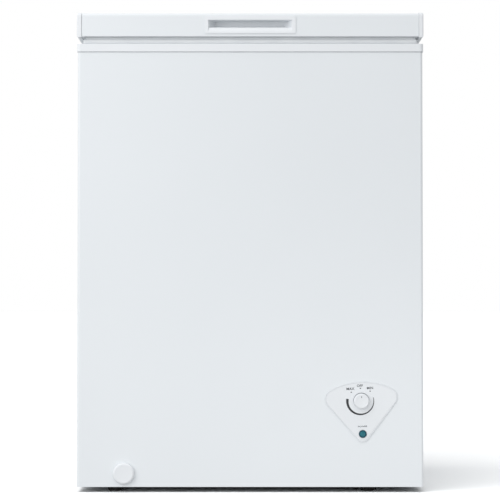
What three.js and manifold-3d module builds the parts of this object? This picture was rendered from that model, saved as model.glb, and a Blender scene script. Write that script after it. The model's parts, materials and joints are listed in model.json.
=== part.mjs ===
// Chest freezer of about 4.6 cubic feet, with a lift-up lid, in millimetres.
// X runs to the right as seen from the front, the front faces -Y and Z points up from the floor.
import * as THREE from 'three';
import { mergeVertices } from 'three/addons/utils/BufferGeometryUtils.js';
import Module from 'manifold-3d';

const wasm = await Module();
wasm.setup();

// ---- Driving dimensions ----------------------------------------------------

const GAP = 0.3; // clearance between pieces that touch
const SHEET = 0.8; // steel sheet
const PLASTIC = 2; // moulded wall
const QUARTER = Math.PI / 2;

// Cabinet, outside faces
const CABINET_HALF = 307.5;
const CABINET_FRONT = -269;
const CABINET_REAR = 245;
const CABINET_BOTTOM = 6;
const CABINET_CORNER = 5;
const WRAP_TOP = 778.8;

// Plastic collar round the mouth
const COLLAR_HALF = 309;
const COLLAR_PROUD = 1.5;
const COLLAR_BOTTOM = 780.4;
const COLLAR_TOP = 794.2;
const COLLAR_WALL = 2.2;
const LEDGE_TOP = 770.5;
const LEDGE_REACH = 12;

// Inner liner, inside faces, with the step over the compressor bay
const LINER_HALF = 252.5;
const LINER_FRONT = -213;
const LINER_REAR = 190;
const LINER_FLOOR = 61;
const LINER_TOP = 790.8;
const LINER_CORNER = 24;
const STEP_X = 60;
const STEP_Z = 285;

// Compressor bay under the step
const BAY_LEFT = 110;
const BAY_TOP = 235;
const TRAY_THICK = 2;

// Refrigerant tubes
const COIL_RADIUS = 3.2;
const COIL_BAND = 8;
const COIL_LOW = 300;
const COIL_HIGH = 712;
const COIL_TURNS = 6;
const COIL_START = 320;
const COIL_PITCH = 62;
const CONDENSER_RADIUS = 2.4;
const CONDENSER_BAND = 6.5;
const CONDENSER_HIGH = 765;
const CONDENSER_LEVELS = 6;
const CONDENSER_START = 290;
const CONDENSER_PITCH = 85;

// Lid
const LID_HALF = 301;
const LID_FRONT = -272;
const LID_REAR = 245;
const LID_BOTTOM = 807;
const LID_TOP = 848.8;
const LID_CORNER = 5;
const CAP_WIDTH = 8;
const CAP_PROUD = 1.2;
const PLUG_HALF = 240;
const PLUG_FRONT = -203;
const PLUG_REAR = 180;
const PLUG_BOTTOM = 781;
const PLUG_CORNER = 18;
const GASKET_HALF = 298.5;
const GASKET_FRONT = -266;
const GASKET_REAR = 236.5;
const GASKET_WIDTH = 12;

// Finger pocket in the front of the lid
const HANDLE_HALF = 81.5;
const HANDLE_LOW = 812.3;
const HANDLE_HIGH = 843.6;
const POCKET_HALF = 75;
const POCKET_BACK_HALF = 63;
const POCKET_DEPTH = 22;
const POCKET_FLOOR = 820.3;
const POCKET_FLOOR_BACK = 824.7;
const POCKET_ROOF = 836.6;

// Hinges: a cam on the lid arm rides a sprung plunger
const HINGE_X = 180;
const PIN_Y = 268;
const PIN_Z = 800;
const PIN_RADIUS = 3.5;
const CAM_REST = 18; // cam height over the plunger with the lid closed
const CAM_RATE = 6; // plunger travel per radian of lid
const SPRING_Y = 264;
const SPRING_FOOT = 699;
const PLUNGER_TOP = PIN_Z - CAM_REST - GAP;

// Controls
const KNOB_X = 197.3;
const KNOB_Z = 158;
const KNOB_RADIUS = 13.7;
const KNOB_FRONT = -280;
const BEZEL_TILT = THREE.MathUtils.degToRad(2.3); // the plate is fitted slightly askew
const BEZEL_FRONT = CABINET_FRONT - 1.7;
const LENS_DROP = 58.2;

// Drain
const DRAIN_X = -224.3;
const DRAIN_Z = 30;
const DRAIN_Y = -170;
const DRAIN_BORE = 6.5;
const DRAIN_TUBE = 8.5;

// Basket
const BASKET_LEFT = -246;
const BASKET_WIDTH = 204;
const BASKET_BOTTOM = 596;
const BASKET_FRONT = -193;
const BASKET_REAR = 170;

// Feet
const FOOT_RADIUS = 12.5;
const FOOT_DROP = 3.5; // how far the feet reach below the level that all heights start from
const FEET = {
  front_left: [-242, -236],
  front_right: [210, -236],
  rear_left: [-242, 214],
  rear_right: [210, 214],
};

// Compressor
const COMPRESSOR = new THREE.Vector3(208, 104, 24);
const MOUNT_X = 62;
const MOUNT_Y = 66;

// ---- Finishes --------------------------------------------------------------

const FINISHES = {
  white_steel: { color: 0xe6eaed, roughness: 0.35, metalness: 0.1 },
  white_plastic: { color: 0xe9ecee, roughness: 0.5, metalness: 0 },
  liner_metal: { color: 0xd5d9dc, roughness: 0.4, metalness: 0.8 },
  zinc_steel: { color: 0xa8abad, roughness: 0.45, metalness: 0.9 },
  black_steel: { color: 0x17181a, roughness: 0.4, metalness: 0.3 },
  black_plastic: { color: 0x1b1c1e, roughness: 0.55, metalness: 0 },
  rubber: { color: 0x151515, roughness: 0.8, metalness: 0 },
  gasket: { color: 0xc9cccd, roughness: 0.65, metalness: 0 },
  copper: { color: 0xb8693d, roughness: 0.35, metalness: 1 },
  foam: { color: 0xe8d9a0, roughness: 0.95, metalness: 0 },
  teal_lens: { color: 0x207380, roughness: 0.15, metalness: 0 },
  wire_white: { color: 0xeeeeee, roughness: 0.4, metalness: 0.1 },
};

const freezer = new THREE.Group();
const cabinet = new THREE.Group();
const lid = new THREE.Group();
const loose = new THREE.Group();
freezer.add(cabinet, lid, loose);
freezer.position.z = FOOT_DROP;

function piece(parent, name, geometry, finish) {
  const mesh = new THREE.Mesh(geometry, new THREE.MeshStandardMaterial(FINISHES[finish]));
  mesh.name = name;
  parent.add(mesh);
}

// ---- Solids ----------------------------------------------------------------

function toSolid(geometry) {
  const bare = geometry.clone();
  bare.deleteAttribute('normal');
  bare.deleteAttribute('uv');
  const merged = mergeVertices(bare, 1e-4);
  return new wasm.Manifold(new wasm.Mesh({
    numProp: 3,
    vertProperties: new Float32Array(merged.attributes.position.array),
    triVerts: new Uint32Array(merged.index.array),
  }));
}

function toGeometry(solid) {
  const mesh = solid.getMesh();
  const geometry = new THREE.BufferGeometry();
  geometry.setAttribute('position', new THREE.BufferAttribute(mesh.vertProperties, 3));
  geometry.setIndex(new THREE.BufferAttribute(mesh.triVerts, 1));
  geometry.computeVertexNormals();
  return geometry;
}

function join(...parts) {
  return toGeometry(parts.map(toSolid).reduce((whole, part) => whole.add(part)));
}

function cut(base, ...tools) {
  return toGeometry(tools.map(toSolid).reduce((whole, tool) => whole.subtract(tool), toSolid(base)));
}

function common(first, second) {
  return toGeometry(toSolid(first).intersect(toSolid(second)));
}

function block(x0, x1, y0, y1, z0, z1) {
  const box = new THREE.BoxGeometry(x1 - x0, y1 - y0, z1 - z0);
  return box.translate((x0 + x1) / 2, (y0 + y1) / 2, (z0 + z1) / 2);
}

function extrude(shape, depth, segments = 4) {
  return new THREE.ExtrudeGeometry(shape, { depth, bevelEnabled: false, curveSegments: segments });
}

// A plan outline in X and Y, raised from z0 to z1.
function slab(shape, z0, z1, segments) {
  return extrude(shape, z1 - z0, segments).translate(0, 0, z0);
}

// A front outline in X and Z, run from y0 to y1.
function plate(shape, y0, y1, segments) {
  return extrude(shape, y1 - y0, segments).rotateX(QUARTER).translate(0, y1, 0);
}

// A side outline in Y and Z, run from x0 to x1.
function bar(shape, x0, x1, segments) {
  const turn = new THREE.Matrix4().set(0, 0, 1, 0, 1, 0, 0, 0, 0, 1, 0, 0, 0, 0, 0, 1);
  return extrude(shape, x1 - x0, segments).applyMatrix4(turn).translate(x0, 0, 0);
}

function polygon(points) {
  return new THREE.Shape(points.map(([a, b]) => new THREE.Vector2(a, b)));
}

function roundedRectangle(a0, a1, b0, b1, radius) {
  const shape = new THREE.Shape();
  shape.absarc(a1 - radius, b0 + radius, radius, -QUARTER, 0, false);
  shape.absarc(a1 - radius, b1 - radius, radius, 0, QUARTER, false);
  shape.absarc(a0 + radius, b1 - radius, radius, QUARTER, 2 * QUARTER, false);
  shape.absarc(a0 + radius, b0 + radius, radius, 2 * QUARTER, 3 * QUARTER, false);
  shape.closePath();
  return shape;
}

// A turned piece about the Y axis; its profile lists radius and Y, with Y falling.
function turnedAlongY(profile, segments, x = 0, z = 0) {
  const points = profile.map(([radius, y]) => new THREE.Vector2(radius, y)).reverse();
  return new THREE.LatheGeometry(points, segments).translate(x, 0, z);
}

// A turned piece about the Z axis; its profile lists radius and Z, with Z falling.
function turnedAlongZ(profile, segments, x = 0, y = 0) {
  const points = profile.map(([radius, z]) => new THREE.Vector2(radius, z)).reverse();
  return new THREE.LatheGeometry(points, segments).rotateX(QUARTER).translate(x, y, 0);
}

function rodAlongX(radius, x0, x1, y, z, segments = 16) {
  const rod = new THREE.CylinderGeometry(radius, radius, x1 - x0, segments);
  return rod.rotateZ(QUARTER).translate((x0 + x1) / 2, y, z);
}

function rodAlongY(radius, y0, y1, x, z, segments = 16) {
  const rod = new THREE.CylinderGeometry(radius, radius, y1 - y0, segments);
  return rod.translate(x, (y0 + y1) / 2, z);
}

function rodAlongZ(radius, z0, z1, x, y, segments = 16) {
  const rod = new THREE.CylinderGeometry(radius, radius, z1 - z0, segments);
  return rod.rotateX(QUARTER).translate(x, y, (z0 + z1) / 2);
}

// A path whose extrusion steps fall on its own points.
class Route extends THREE.Curve {
  constructor(points) {
    super();
    this.points = points;
  }

  getPointAt(u) {
    const along = u * (this.points.length - 1);
    const index = Math.min(Math.floor(along + 1e-9), this.points.length - 2);
    return this.points[index].clone().lerp(this.points[index + 1], along - index);
  }

  getTangentAt(u) {
    const last = this.points.length - 1;
    const index = Math.round(u * last);
    const before = this.points[Math.max(index - 1, 0)];
    const after = this.points[Math.min(index + 1, last)];
    return after.clone().sub(before).normalize();
  }
}

// Corner points with each inner corner rounded by a short curve.
function bent(corners, bend, steps = 3) {
  const points = corners.map(([x, y, z]) => new THREE.Vector3(x, y, z));
  const route = [points[0]];
  for (let i = 1; i < points.length - 1; i += 1) {
    const back = points[i - 1].clone().sub(points[i]).setLength(bend).add(points[i]);
    const ahead = points[i + 1].clone().sub(points[i]).setLength(bend).add(points[i]);
    route.push(...new THREE.QuadraticBezierCurve3(back, points[i], ahead).getPoints(steps));
  }
  route.push(points[points.length - 1]);
  return route;
}

function tube(points, radius, sides) {
  const section = new THREE.Shape();
  section.absarc(0, 0, radius, 0, 4 * QUARTER, false);
  return new THREE.ExtrudeGeometry(section, {
    steps: points.length - 1,
    extrudePath: new Route(points),
    curveSegments: sides / 2,
    bevelEnabled: false,
  });
}

// ---- Cabinet shell ---------------------------------------------------------

// The cabinet's plan, drawn inset from its outside faces and open to a chosen rear.
function cabinetPlan(inset, rear) {
  const half = CABINET_HALF - inset;
  const front = CABINET_FRONT + inset;
  const radius = Math.max(CABINET_CORNER - inset, 1);
  const shape = new THREE.Shape();
  shape.moveTo(-half, rear);
  shape.lineTo(-half, front + radius);
  shape.absarc(-half + radius, front + radius, radius, 2 * QUARTER, 3 * QUARTER, false);
  shape.absarc(half - radius, front + radius, radius, 3 * QUARTER, 4 * QUARTER, false);
  shape.lineTo(half, rear);
  shape.closePath();
  return shape;
}

const INSIDE = SHEET + GAP;
const PANEL_FRONT = CABINET_REAR - SHEET;
const FOAM_REAR = PANEL_FRONT - GAP;
const BASE_TOP = CABINET_BOTTOM + SHEET;

function makeOuterWrap() {
  const lensX = KNOB_X + LENS_DROP * Math.sin(BEZEL_TILT);
  const lensZ = KNOB_Z - LENS_DROP * Math.cos(BEZEL_TILT);
  return cut(
    slab(cabinetPlan(0, CABINET_REAR), CABINET_BOTTOM, WRAP_TOP, 3),
    slab(cabinetPlan(SHEET, CABINET_REAR + 5), 0, WRAP_TOP + 5, 3),
    block(KNOB_X - 32, KNOB_X + 32, CABINET_FRONT - 5, CABINET_FRONT + 5, KNOB_Z - 34, KNOB_Z + 20),
    rodAlongY(8, CABINET_FRONT - 5, CABINET_FRONT + 5, lensX, lensZ),
    rodAlongY(12, CABINET_FRONT - 5, CABINET_FRONT + 5, DRAIN_X, DRAIN_Z),
  );
}

const WINDOW = { left: 142, right: 293, low: 30, high: 216 };
const GLAND = { x: 122, z: 48, radius: 6.2, bore: 3.6, flange: 8.5 };

function makeBackPanel() {
  const half = CABINET_HALF - INSIDE;
  return cut(
    block(-half, half, PANEL_FRONT, CABINET_REAR, CABINET_BOTTOM, WRAP_TOP),
    block(WINDOW.left, WINDOW.right, PANEL_FRONT - 5, CABINET_REAR + 5, WINDOW.low, WINDOW.high),
    rodAlongY(GLAND.radius + GAP, PANEL_FRONT - 5, CABINET_REAR + 5, GLAND.x, GLAND.z),
  );
}

function footHoles() {
  return Object.values(FEET).map(([x, y]) => rodAlongZ(4 + GAP, 0, 12, x, y, 12));
}

function makeBasePanel() {
  return cut(
    slab(cabinetPlan(INSIDE, FOAM_REAR), CABINET_BOTTOM, BASE_TOP, 3),
    block(BAY_LEFT, 400, -400, 400, 0, 20),
    ...footHoles(),
  );
}

function makeCompressorTray() {
  const floor = slab(cabinetPlan(INSIDE, FOAM_REAR), CABINET_BOTTOM, CABINET_BOTTOM + TRAY_THICK, 3);
  const rim = block(BAY_LEFT + GAP, BAY_LEFT + 2, -255, 235, CABINET_BOTTOM + 1, 24);
  const beside = block(-400, BAY_LEFT + GAP, -400, 400, 0, 20);
  return cut(join(cut(floor, beside), rim), ...footHoles());
}

// The liner's hollow, grown outwards by a wall and run up to a chosen top.
function linerVolume(grow, top) {
  const plan = roundedRectangle(
    -LINER_HALF - grow, LINER_HALF + grow, LINER_FRONT - grow, LINER_REAR + grow, LINER_CORNER + grow,
  );
  return cut(
    slab(plan, LINER_FLOOR - grow, top, 3),
    block(STEP_X + grow, 400, -400, 400, 0, STEP_Z - grow),
  );
}

function makeInnerLiner() {
  return cut(
    linerVolume(SHEET, LINER_TOP),
    linerVolume(0, LINER_TOP + 5),
    rodAlongZ(DRAIN_BORE, LINER_FLOOR - 5, LINER_FLOOR + 5, DRAIN_X, DRAIN_Y),
  );
}

function drainRoute() {
  const top = LINER_FLOOR - SHEET - GAP;
  const front = CABINET_FRONT + 11;
  return bent([[DRAIN_X, DRAIN_Y, top], [DRAIN_X, DRAIN_Y, DRAIN_Z], [DRAIN_X, front, DRAIN_Z]], 14, 5);
}

// The recess in the foam's outer faces that leaves room for the condenser.
function condenserRecess() {
  return cut(
    slab(cabinetPlan(-2, 232), BAY_TOP - 1, CONDENSER_HIGH, 3),
    slab(cabinetPlan(INSIDE + CONDENSER_BAND, 300), BAY_TOP - 5, CONDENSER_HIGH + 5, 3),
  );
}

function evaporatorRecess() {
  const reach = INSIDE + COIL_BAND;
  const plan = roundedRectangle(
    -LINER_HALF - reach, LINER_HALF + reach, LINER_FRONT - reach, LINER_REAR + reach, LINER_CORNER + reach,
  );
  return slab(plan, COIL_LOW, COIL_HIGH, 3);
}

function makeCabinetInsulation() {
  const hidden = COIL_LOW + 1;
  return cut(
    slab(cabinetPlan(INSIDE, FOAM_REAR), BASE_TOP + GAP, COLLAR_TOP - COLLAR_WALL - 2 * GAP, 3),
    block(BAY_LEFT, 400, -400, 400, 0, BAY_TOP),
    linerVolume(INSIDE, COLLAR_TOP + 5),
    evaporatorRecess(),
    condenserRecess(),
    block(168, 182, LINER_REAR, LINER_REAR + 22, BAY_TOP - 5, COIL_HIGH),
    block(142, 158, LINER_REAR, LINER_REAR + 9, BAY_TOP - 5, hidden),
    block(225, 235, LINER_FRONT - 9, LINER_FRONT - 1, BAY_TOP - 5, hidden),
    tube(drainRoute(), DRAIN_TUBE + GAP, 12),
    rodAlongY(12.5, CABINET_FRONT, CABINET_FRONT + 20, DRAIN_X, DRAIN_Z),
  );
}

function makeTopCollar() {
  const front = CABINET_FRONT - COLLAR_PROUD;
  const rear = CABINET_REAR + COLLAR_PROUD;
  const lip = LINER_HALF - GAP;
  const mouth = lip - COLLAR_WALL;
  const y0 = LINER_FRONT + GAP;
  const y1 = LINER_REAR - GAP;
  const outside = roundedRectangle(-COLLAR_HALF, COLLAR_HALF, front, rear, 6.5);
  const under = roundedRectangle(
    COLLAR_WALL - COLLAR_HALF, COLLAR_HALF - COLLAR_WALL, front + COLLAR_WALL, rear - COLLAR_WALL, 1,
  );
  const lipPlan = roundedRectangle(-lip, lip, y0, y1, LINER_CORNER - GAP);
  const mouthPlan = roundedRectangle(
    -mouth, mouth, y0 + COLLAR_WALL, y1 - COLLAR_WALL, LINER_CORNER - GAP - COLLAR_WALL,
  );
  const ledgeFront = y0 + COLLAR_WALL + LEDGE_REACH;
  const ledgeRear = y1 - COLLAR_WALL - LEDGE_REACH;
  const ledgeLow = LEDGE_TOP - 2.5;
  const rim = cut(
    slab(outside, COLLAR_BOTTOM, COLLAR_TOP, 3),
    slab(under, COLLAR_BOTTOM - 5, COLLAR_TOP - COLLAR_WALL, 1),
    slab(mouthPlan, COLLAR_BOTTOM - 5, COLLAR_TOP + 5, 3),
  );
  const throat = cut(
    slab(lipPlan, ledgeLow, COLLAR_TOP - 1, 3),
    slab(mouthPlan, LEDGE_TOP, COLLAR_TOP + 5, 3),
    block(-mouth, mouth, ledgeFront, ledgeRear, ledgeLow - 5, COLLAR_TOP + 5),
  );
  return join(rim, throat);
}

function makeFoot([x, y], studTop) {
  const profile = [[0, studTop], [4, studTop], [4, CABINET_BOTTOM - GAP], [FOOT_RADIUS, CABINET_BOTTOM - GAP],
    [FOOT_RADIUS, 1.5 - FOOT_DROP], [FOOT_RADIUS - 1.5, -FOOT_DROP], [0, -FOOT_DROP]];
  return turnedAlongZ(profile, 12, x, y);
}

// ---- Refrigeration ---------------------------------------------------------

// Level turns round the liner, each rising to the next as it goes.
function makeEvaporatorCoil() {
  const reach = SHEET + GAP + COIL_BAND / 2;
  const side = LINER_HALF + reach;
  const front = LINER_FRONT - reach;
  const rear = LINER_REAR + reach;
  const corners = [[150, rear, BAY_TOP - 25], [150, rear, COIL_START]];
  const ring = [[-side, rear], [-side, front], [side, front], [side, rear]];
  for (let turn = 0; turn < COIL_TURNS; turn += 1) {
    ring.forEach(([x, y], corner) => {
      corners.push([x, y, COIL_START + COIL_PITCH * (turn + (corner + 1) / 4)]);
    });
  }
  corners.push([192, rear, COIL_START + COIL_PITCH * (COIL_TURNS + 0.02)]);
  return tube(bent(corners, 34, 4), COIL_RADIUS, 6);
}

// One tube that runs back and forth inside the side and front sheets.
function makeCondenserCoil() {
  const depth = SHEET + (CONDENSER_BAND + GAP) / 2;
  const side = CABINET_HALF - depth;
  const front = CABINET_FRONT + depth;
  const corners = [[side, 205, 150]];
  for (let level = 0; level < CONDENSER_LEVELS; level += 1) {
    const z = CONDENSER_START + level * CONDENSER_PITCH;
    const sense = level % 2 === 0 ? 1 : -1;
    corners.push([sense * side, 205, z], [sense * side, front, z]);
    corners.push([-sense * side, front, z], [-sense * side, 205, z]);
  }
  const top = CONDENSER_START + (CONDENSER_LEVELS - 1) * CONDENSER_PITCH;
  corners.pop();
  corners.push([side, 222, top], [side, 222, 150], [286, 222, 150], [286, 222, 122]);
  return tube(bent(corners, 7), CONDENSER_RADIUS, 6);
}

function makeCompressorShell() {
  const profile = [[0, 150], [26, 148], [46, 138], [58, 118], [62, 92], [62, 76], [65, 75], [65, 70],
    [62, 69], [62, 40], [56, 16], [40, 2], [24, 0], [0, 0]];
  const can = turnedAlongZ(profile, 16).scale(1, 1.2, 1);
  return can.translate(COMPRESSOR.x, COMPRESSOR.y, COMPRESSOR.z);
}

function compressorMounts() {
  const signs = [[-1, -1], [1, -1], [-1, 1], [1, 1]];
  return signs.map(([sx, sy]) => [COMPRESSOR.x + sx * MOUNT_X, COMPRESSOR.y + sy * MOUNT_Y]);
}

function makeCompressorLegs() {
  const plan = roundedRectangle(
    COMPRESSOR.x - MOUNT_X - 15, COMPRESSOR.x + MOUNT_X + 15,
    COMPRESSOR.y - MOUNT_Y - 15, COMPRESSOR.y + MOUNT_Y + 15, 14,
  );
  const waist = [COMPRESSOR.y - 40, COMPRESSOR.y + 40];
  return cut(
    slab(plan, COMPRESSOR.z - 3, COMPRESSOR.z - GAP),
    block(0, COMPRESSOR.x - MOUNT_X + 14, ...waist, 0, 60),
    block(COMPRESSOR.x + MOUNT_X - 14, 400, ...waist, 0, 60),
    ...compressorMounts().map(([x, y]) => rodAlongZ(8, 0, 60, x, y)),
  );
}

function makeGrommet([x, y]) {
  const floor = CABINET_BOTTOM + TRAY_THICK + GAP;
  const low = COMPRESSOR.z - 3 - GAP;
  const high = COMPRESSOR.z;
  const profile = [[3.2, high + 4], [11, high + 4], [11, high], [7.6, high], [7.6, low], [12, low],
    [12, floor + 5], [9, floor], [3.2, floor], [3.2, high + 4]];
  return turnedAlongZ(profile, 12, x, y);
}

function makeRelayCover() {
  const x1 = COMPRESSOR.x - 66;
  const face = roundedRectangle(COMPRESSOR.y - 26, COMPRESSOR.y + 26, 66, 122, 6);
  return bar(face, x1 - 22, x1);
}

function makeFilterDrier() {
  const profile = [[0, 121.7], [2.4, 121.7], [8, 112], [8, 66], [2, 58], [0, 58]];
  return turnedAlongZ(profile, 16, 286, 222);
}

function makeCapillary() {
  const rear = LINER_REAR + SHEET + GAP + COIL_BAND / 2;
  const corners = [[286, 222, 58 - GAP], [286, 222, 40], [150, 222, 40], [150, rear, 60],
    [150, rear, BAY_TOP - 25 - GAP]];
  return tube(bent(corners, 10), 1.2, 6);
}

function makeSuctionLine() {
  const rear = LINER_REAR + SHEET + GAP + COIL_BAND / 2;
  const top = COIL_START + COIL_PITCH * (COIL_TURNS + 0.02);
  const shellRear = COMPRESSOR.y + 65 * 1.2;
  const corners = [[192 - GAP, rear, top], [175, rear, top], [175, 205, top - 12], [175, 205, 128],
    [COMPRESSOR.x, 205, 128], [COMPRESSOR.x, shellRear, 128]];
  return tube(bent(corners, 6), 3.4, 6);
}

function makeDischargeLine() {
  const side = CABINET_HALF - SHEET - (CONDENSER_BAND + GAP) / 2;
  const corners = [[COMPRESSOR.x + 65 + GAP, COMPRESSOR.y, 110], [290, COMPRESSOR.y, 110],
    [side, 150, 110], [side, 205, 124], [side, 205, 150 - GAP]];
  return tube(bent(corners, 9), 2.4, 6);
}

// ---- Rear cover and drain --------------------------------------------------

const COVER = { left: 132, right: 303, low: 20, high: 226, slots: 9 };

function makeCompressorCover() {
  const rear = CABINET_REAR + GAP;
  const outline = roundedRectangle(COVER.left, COVER.right, COVER.low, COVER.high, 6);
  const slots = [];
  for (let i = 0; i < COVER.slots; i += 1) {
    const z = COVER.low + 22 + (i * (COVER.high - COVER.low - 50)) / (COVER.slots - 1);
    slots.push(block(COVER.left + 20, COVER.right - 20, rear - 5, rear + 5, z, z + 6));
  }
  return cut(plate(outline, rear, rear + PLASTIC), ...slots);
}

function makeCordGland() {
  const profile = [[GLAND.bore, CABINET_REAR + 5], [GLAND.flange - 2, CABINET_REAR + 5],
    [GLAND.flange, CABINET_REAR + GAP], [GLAND.radius, CABINET_REAR + GAP],
    [GLAND.radius, PANEL_FRONT - GAP], [GLAND.flange, PANEL_FRONT - GAP],
    [GLAND.flange, PANEL_FRONT - 4], [GLAND.bore, PANEL_FRONT - 4], [GLAND.bore, CABINET_REAR + 5]];
  return turnedAlongY(profile, 12, GLAND.x, GLAND.z);
}

function makeDrainTube() {
  const route = drainRoute();
  const last = route.length - 1;
  const bore = route.map((point) => point.clone());
  bore[0].z += 3;
  bore[last].y -= 3;
  return cut(tube(route, DRAIN_TUBE, 12), tube(bore, DRAIN_BORE, 12));
}

function makeDrainOutlet() {
  const face = CABINET_FRONT - GAP;
  const bore = DRAIN_TUBE + GAP;
  const profile = [[bore, face + 19], [11.5, face + 19], [11.5, face], [15, face], [15, face - 1.9],
    [bore, face - 1.9], [bore, face + 19]];
  return turnedAlongY(profile, 20, DRAIN_X, DRAIN_Z);
}

function makeDrainCap() {
  const face = CABINET_FRONT - GAP;
  const profile = [[0, face + 19], [5.9, face + 19], [5.9, face - 4], [16.4, face - 4], [16.4, face],
    [19.2, face], [19.2, face - 3.6], [18.2, face - 5.8], [16, face - 6.9], [13, face - 7.2],
    [0, face - 7.2]];
  return turnedAlongY(profile, 20, DRAIN_X, DRAIN_Z);
}

function makeDrainPlug() {
  const floor = LINER_FLOOR + GAP;
  const profile = [[0, floor + 4], [12, floor + 4], [14, floor + 2.5], [14, floor], [6, floor],
    [5.4, floor - 14], [0, floor - 14]];
  const tab = plate(roundedRectangle(DRAIN_X - 7, DRAIN_X + 7, floor + 1, floor + 15, 5), -1.5, 1.5);
  return join(turnedAlongZ(profile, 20, DRAIN_X, DRAIN_Y), tab.translate(0, DRAIN_Y, 0));
}

// ---- Controls, drawn about the knob's axis ---------------------------------

// A shield: a flat arch above, two rounded shoulders and a rounded tip below.
function shieldOutline() {
  const archRadius = 116;
  const archCentre = 34.3 - archRadius;
  const shoulder = { radius: 17, x: 47.4 };
  shoulder.y = archCentre + Math.sqrt((archRadius - shoulder.radius) ** 2 - shoulder.x ** 2);
  const tip = { radius: 12.4, y: -60 };
  const run = Math.hypot(shoulder.x, shoulder.y - tip.y);
  const slope = Math.atan2(shoulder.x, shoulder.y - tip.y);
  const side = -slope - Math.asin((shoulder.radius - tip.radius) / run);
  const crown = Math.atan2(shoulder.y - archCentre, shoulder.x);
  const shape = new THREE.Shape();
  shape.absarc(0, archCentre, archRadius, crown, 2 * QUARTER - crown, false);
  shape.absarc(-shoulder.x, shoulder.y, shoulder.radius, 2 * QUARTER - crown, 2 * QUARTER - side, false);
  shape.absarc(0, tip.y, tip.radius, 2 * QUARTER - side, 4 * QUARTER + side, false);
  shape.absarc(shoulder.x, shoulder.y, shoulder.radius, side, crown, false);
  shape.closePath();
  return shape;
}

function makeControlBezel() {
  const back = CABINET_FRONT - GAP;
  const skirt = cut(
    plate(roundedRectangle(-27, 27, -29, 15, 4), back - 1, CABINET_FRONT + 12, 2),
    plate(roundedRectangle(-25, 25, -27, 13, 2), back, CABINET_FRONT + 20, 2),
  );
  return cut(
    join(plate(shieldOutline(), BEZEL_FRONT, back, 4), skirt),
    rodAlongY(4, -300, -200, 0, 0),
    rodAlongY(5.3, -300, -200, 0, -LENS_DROP),
  );
}

function makeIndicatorLens() {
  const front = BEZEL_FRONT - GAP;
  const profile = [[0, front + 3], [5, front + 3], [5, front], [6.75, front], [6.75, front - 0.8],
    [5, front - 1.6], [0, front - 2]];
  return turnedAlongY(profile, 16, 0, -LENS_DROP);
}

function makeIndicatorLamp() {
  const front = CABINET_FRONT + 3;
  const profile = [[0, front + 22], [4, front + 22], [6, front + 18], [6, front + 2], [4, front], [0, front]];
  return turnedAlongY(profile, 10, 0, -LENS_DROP);
}

function makeControlKnob() {
  const back = BEZEL_FRONT - GAP;
  const profile = [[0, back - 5.5], [3.3, back - 5.5], [3.3, back], [KNOB_RADIUS, back],
    [KNOB_RADIUS - 0.3, KNOB_FRONT + 2.6], [KNOB_RADIUS - 1.4, KNOB_FRONT + 0.8],
    [KNOB_RADIUS - 3.4, KNOB_FRONT], [0, KNOB_FRONT]];
  return turnedAlongY(profile, 24, KNOB_X, KNOB_Z);
}

function makeThermostatSpindle() {
  return rodAlongY(3, BEZEL_FRONT - 5, CABINET_FRONT + 10, KNOB_X, KNOB_Z, 12);
}

function makeThermostatBody() {
  const front = CABINET_FRONT + 10 + GAP;
  const can = block(KNOB_X - 17, KNOB_X + 17, front + 3, front + 27, KNOB_Z - 14, KNOB_Z + 11);
  return join(can, rodAlongY(7, front, front + 4, KNOB_X, KNOB_Z));
}

function makeThermostatBulbLine() {
  const front = LINER_FRONT - SHEET - GAP - COIL_BAND / 2;
  const corners = [[KNOB_X, CABINET_FRONT + 38 + GAP, KNOB_Z], [KNOB_X, -205, KNOB_Z + 20],
    [230, front, 215], [230, front, 316]];
  return tube(bent(corners, 8), 1.4, 6);
}

function makeWiringHarness() {
  const x = COMPRESSOR.x - 77;
  const corners = [[x, COMPRESSOR.y - 26 - GAP, 90], [x, 20, 90], [x, -60, 60], [KNOB_X, -205, 60],
    [KNOB_X, -205, KNOB_Z - 8], [KNOB_X, CABINET_FRONT + 37 + 2 * GAP, KNOB_Z - 8]];
  return tube(bent(corners, 14), 3.5, 6);
}

// ---- Lid -------------------------------------------------------------------

// The lid's section in Y and Z, grown outwards by a chosen amount.
function lidSection(grow, bottom) {
  const front = LID_FRONT - grow;
  const rear = LID_REAR + grow;
  const top = LID_TOP + grow;
  const radius = LID_CORNER + grow;
  const shape = new THREE.Shape();
  shape.moveTo(front, bottom);
  shape.lineTo(rear, bottom);
  shape.absarc(rear - radius, top - radius, radius, 0, QUARTER, false);
  shape.absarc(front + radius, top - radius, radius, QUARTER, 2 * QUARTER, false);
  shape.closePath();
  return shape;
}

function handleBody(grow) {
  const half = HANDLE_HALF - 3.3 + grow;
  return block(
    -half, half, LID_FRONT - GAP - 0.2, LID_FRONT + POCKET_DEPTH + 2.5 + grow,
    HANDLE_LOW + 1.2 - grow, HANDLE_HIGH - 2.4 + grow,
  );
}

function makeLidSkin() {
  const half = LID_HALF - GAP;
  return cut(
    bar(lidSection(0, LID_BOTTOM + GAP), -half, half),
    bar(lidSection(-SHEET, LID_BOTTOM - 5), -half - 5, half + 5),
    handleBody(GAP).translate(0, -3, 0),
  );
}

function makeLidEndCap(side) {
  const cap = cut(
    bar(lidSection(CAP_PROUD, LID_BOTTOM - 1), LID_HALF, LID_HALF + CAP_WIDTH),
    bar(lidSection(-1.6, LID_BOTTOM + 2), LID_HALF - 5, LID_HALF + CAP_WIDTH - 2.4),
  );
  return side > 0 ? cap : mirrored(cap);
}

// The same piece for the other side, with its faces turned outwards again.
function mirrored(geometry) {
  return toGeometry(toSolid(geometry).mirror([1, 0, 0]));
}

function plugPlan(inset) {
  return roundedRectangle(
    inset - PLUG_HALF, PLUG_HALF - inset, PLUG_FRONT + inset, PLUG_REAR - inset, PLUG_CORNER - inset,
  );
}

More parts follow.
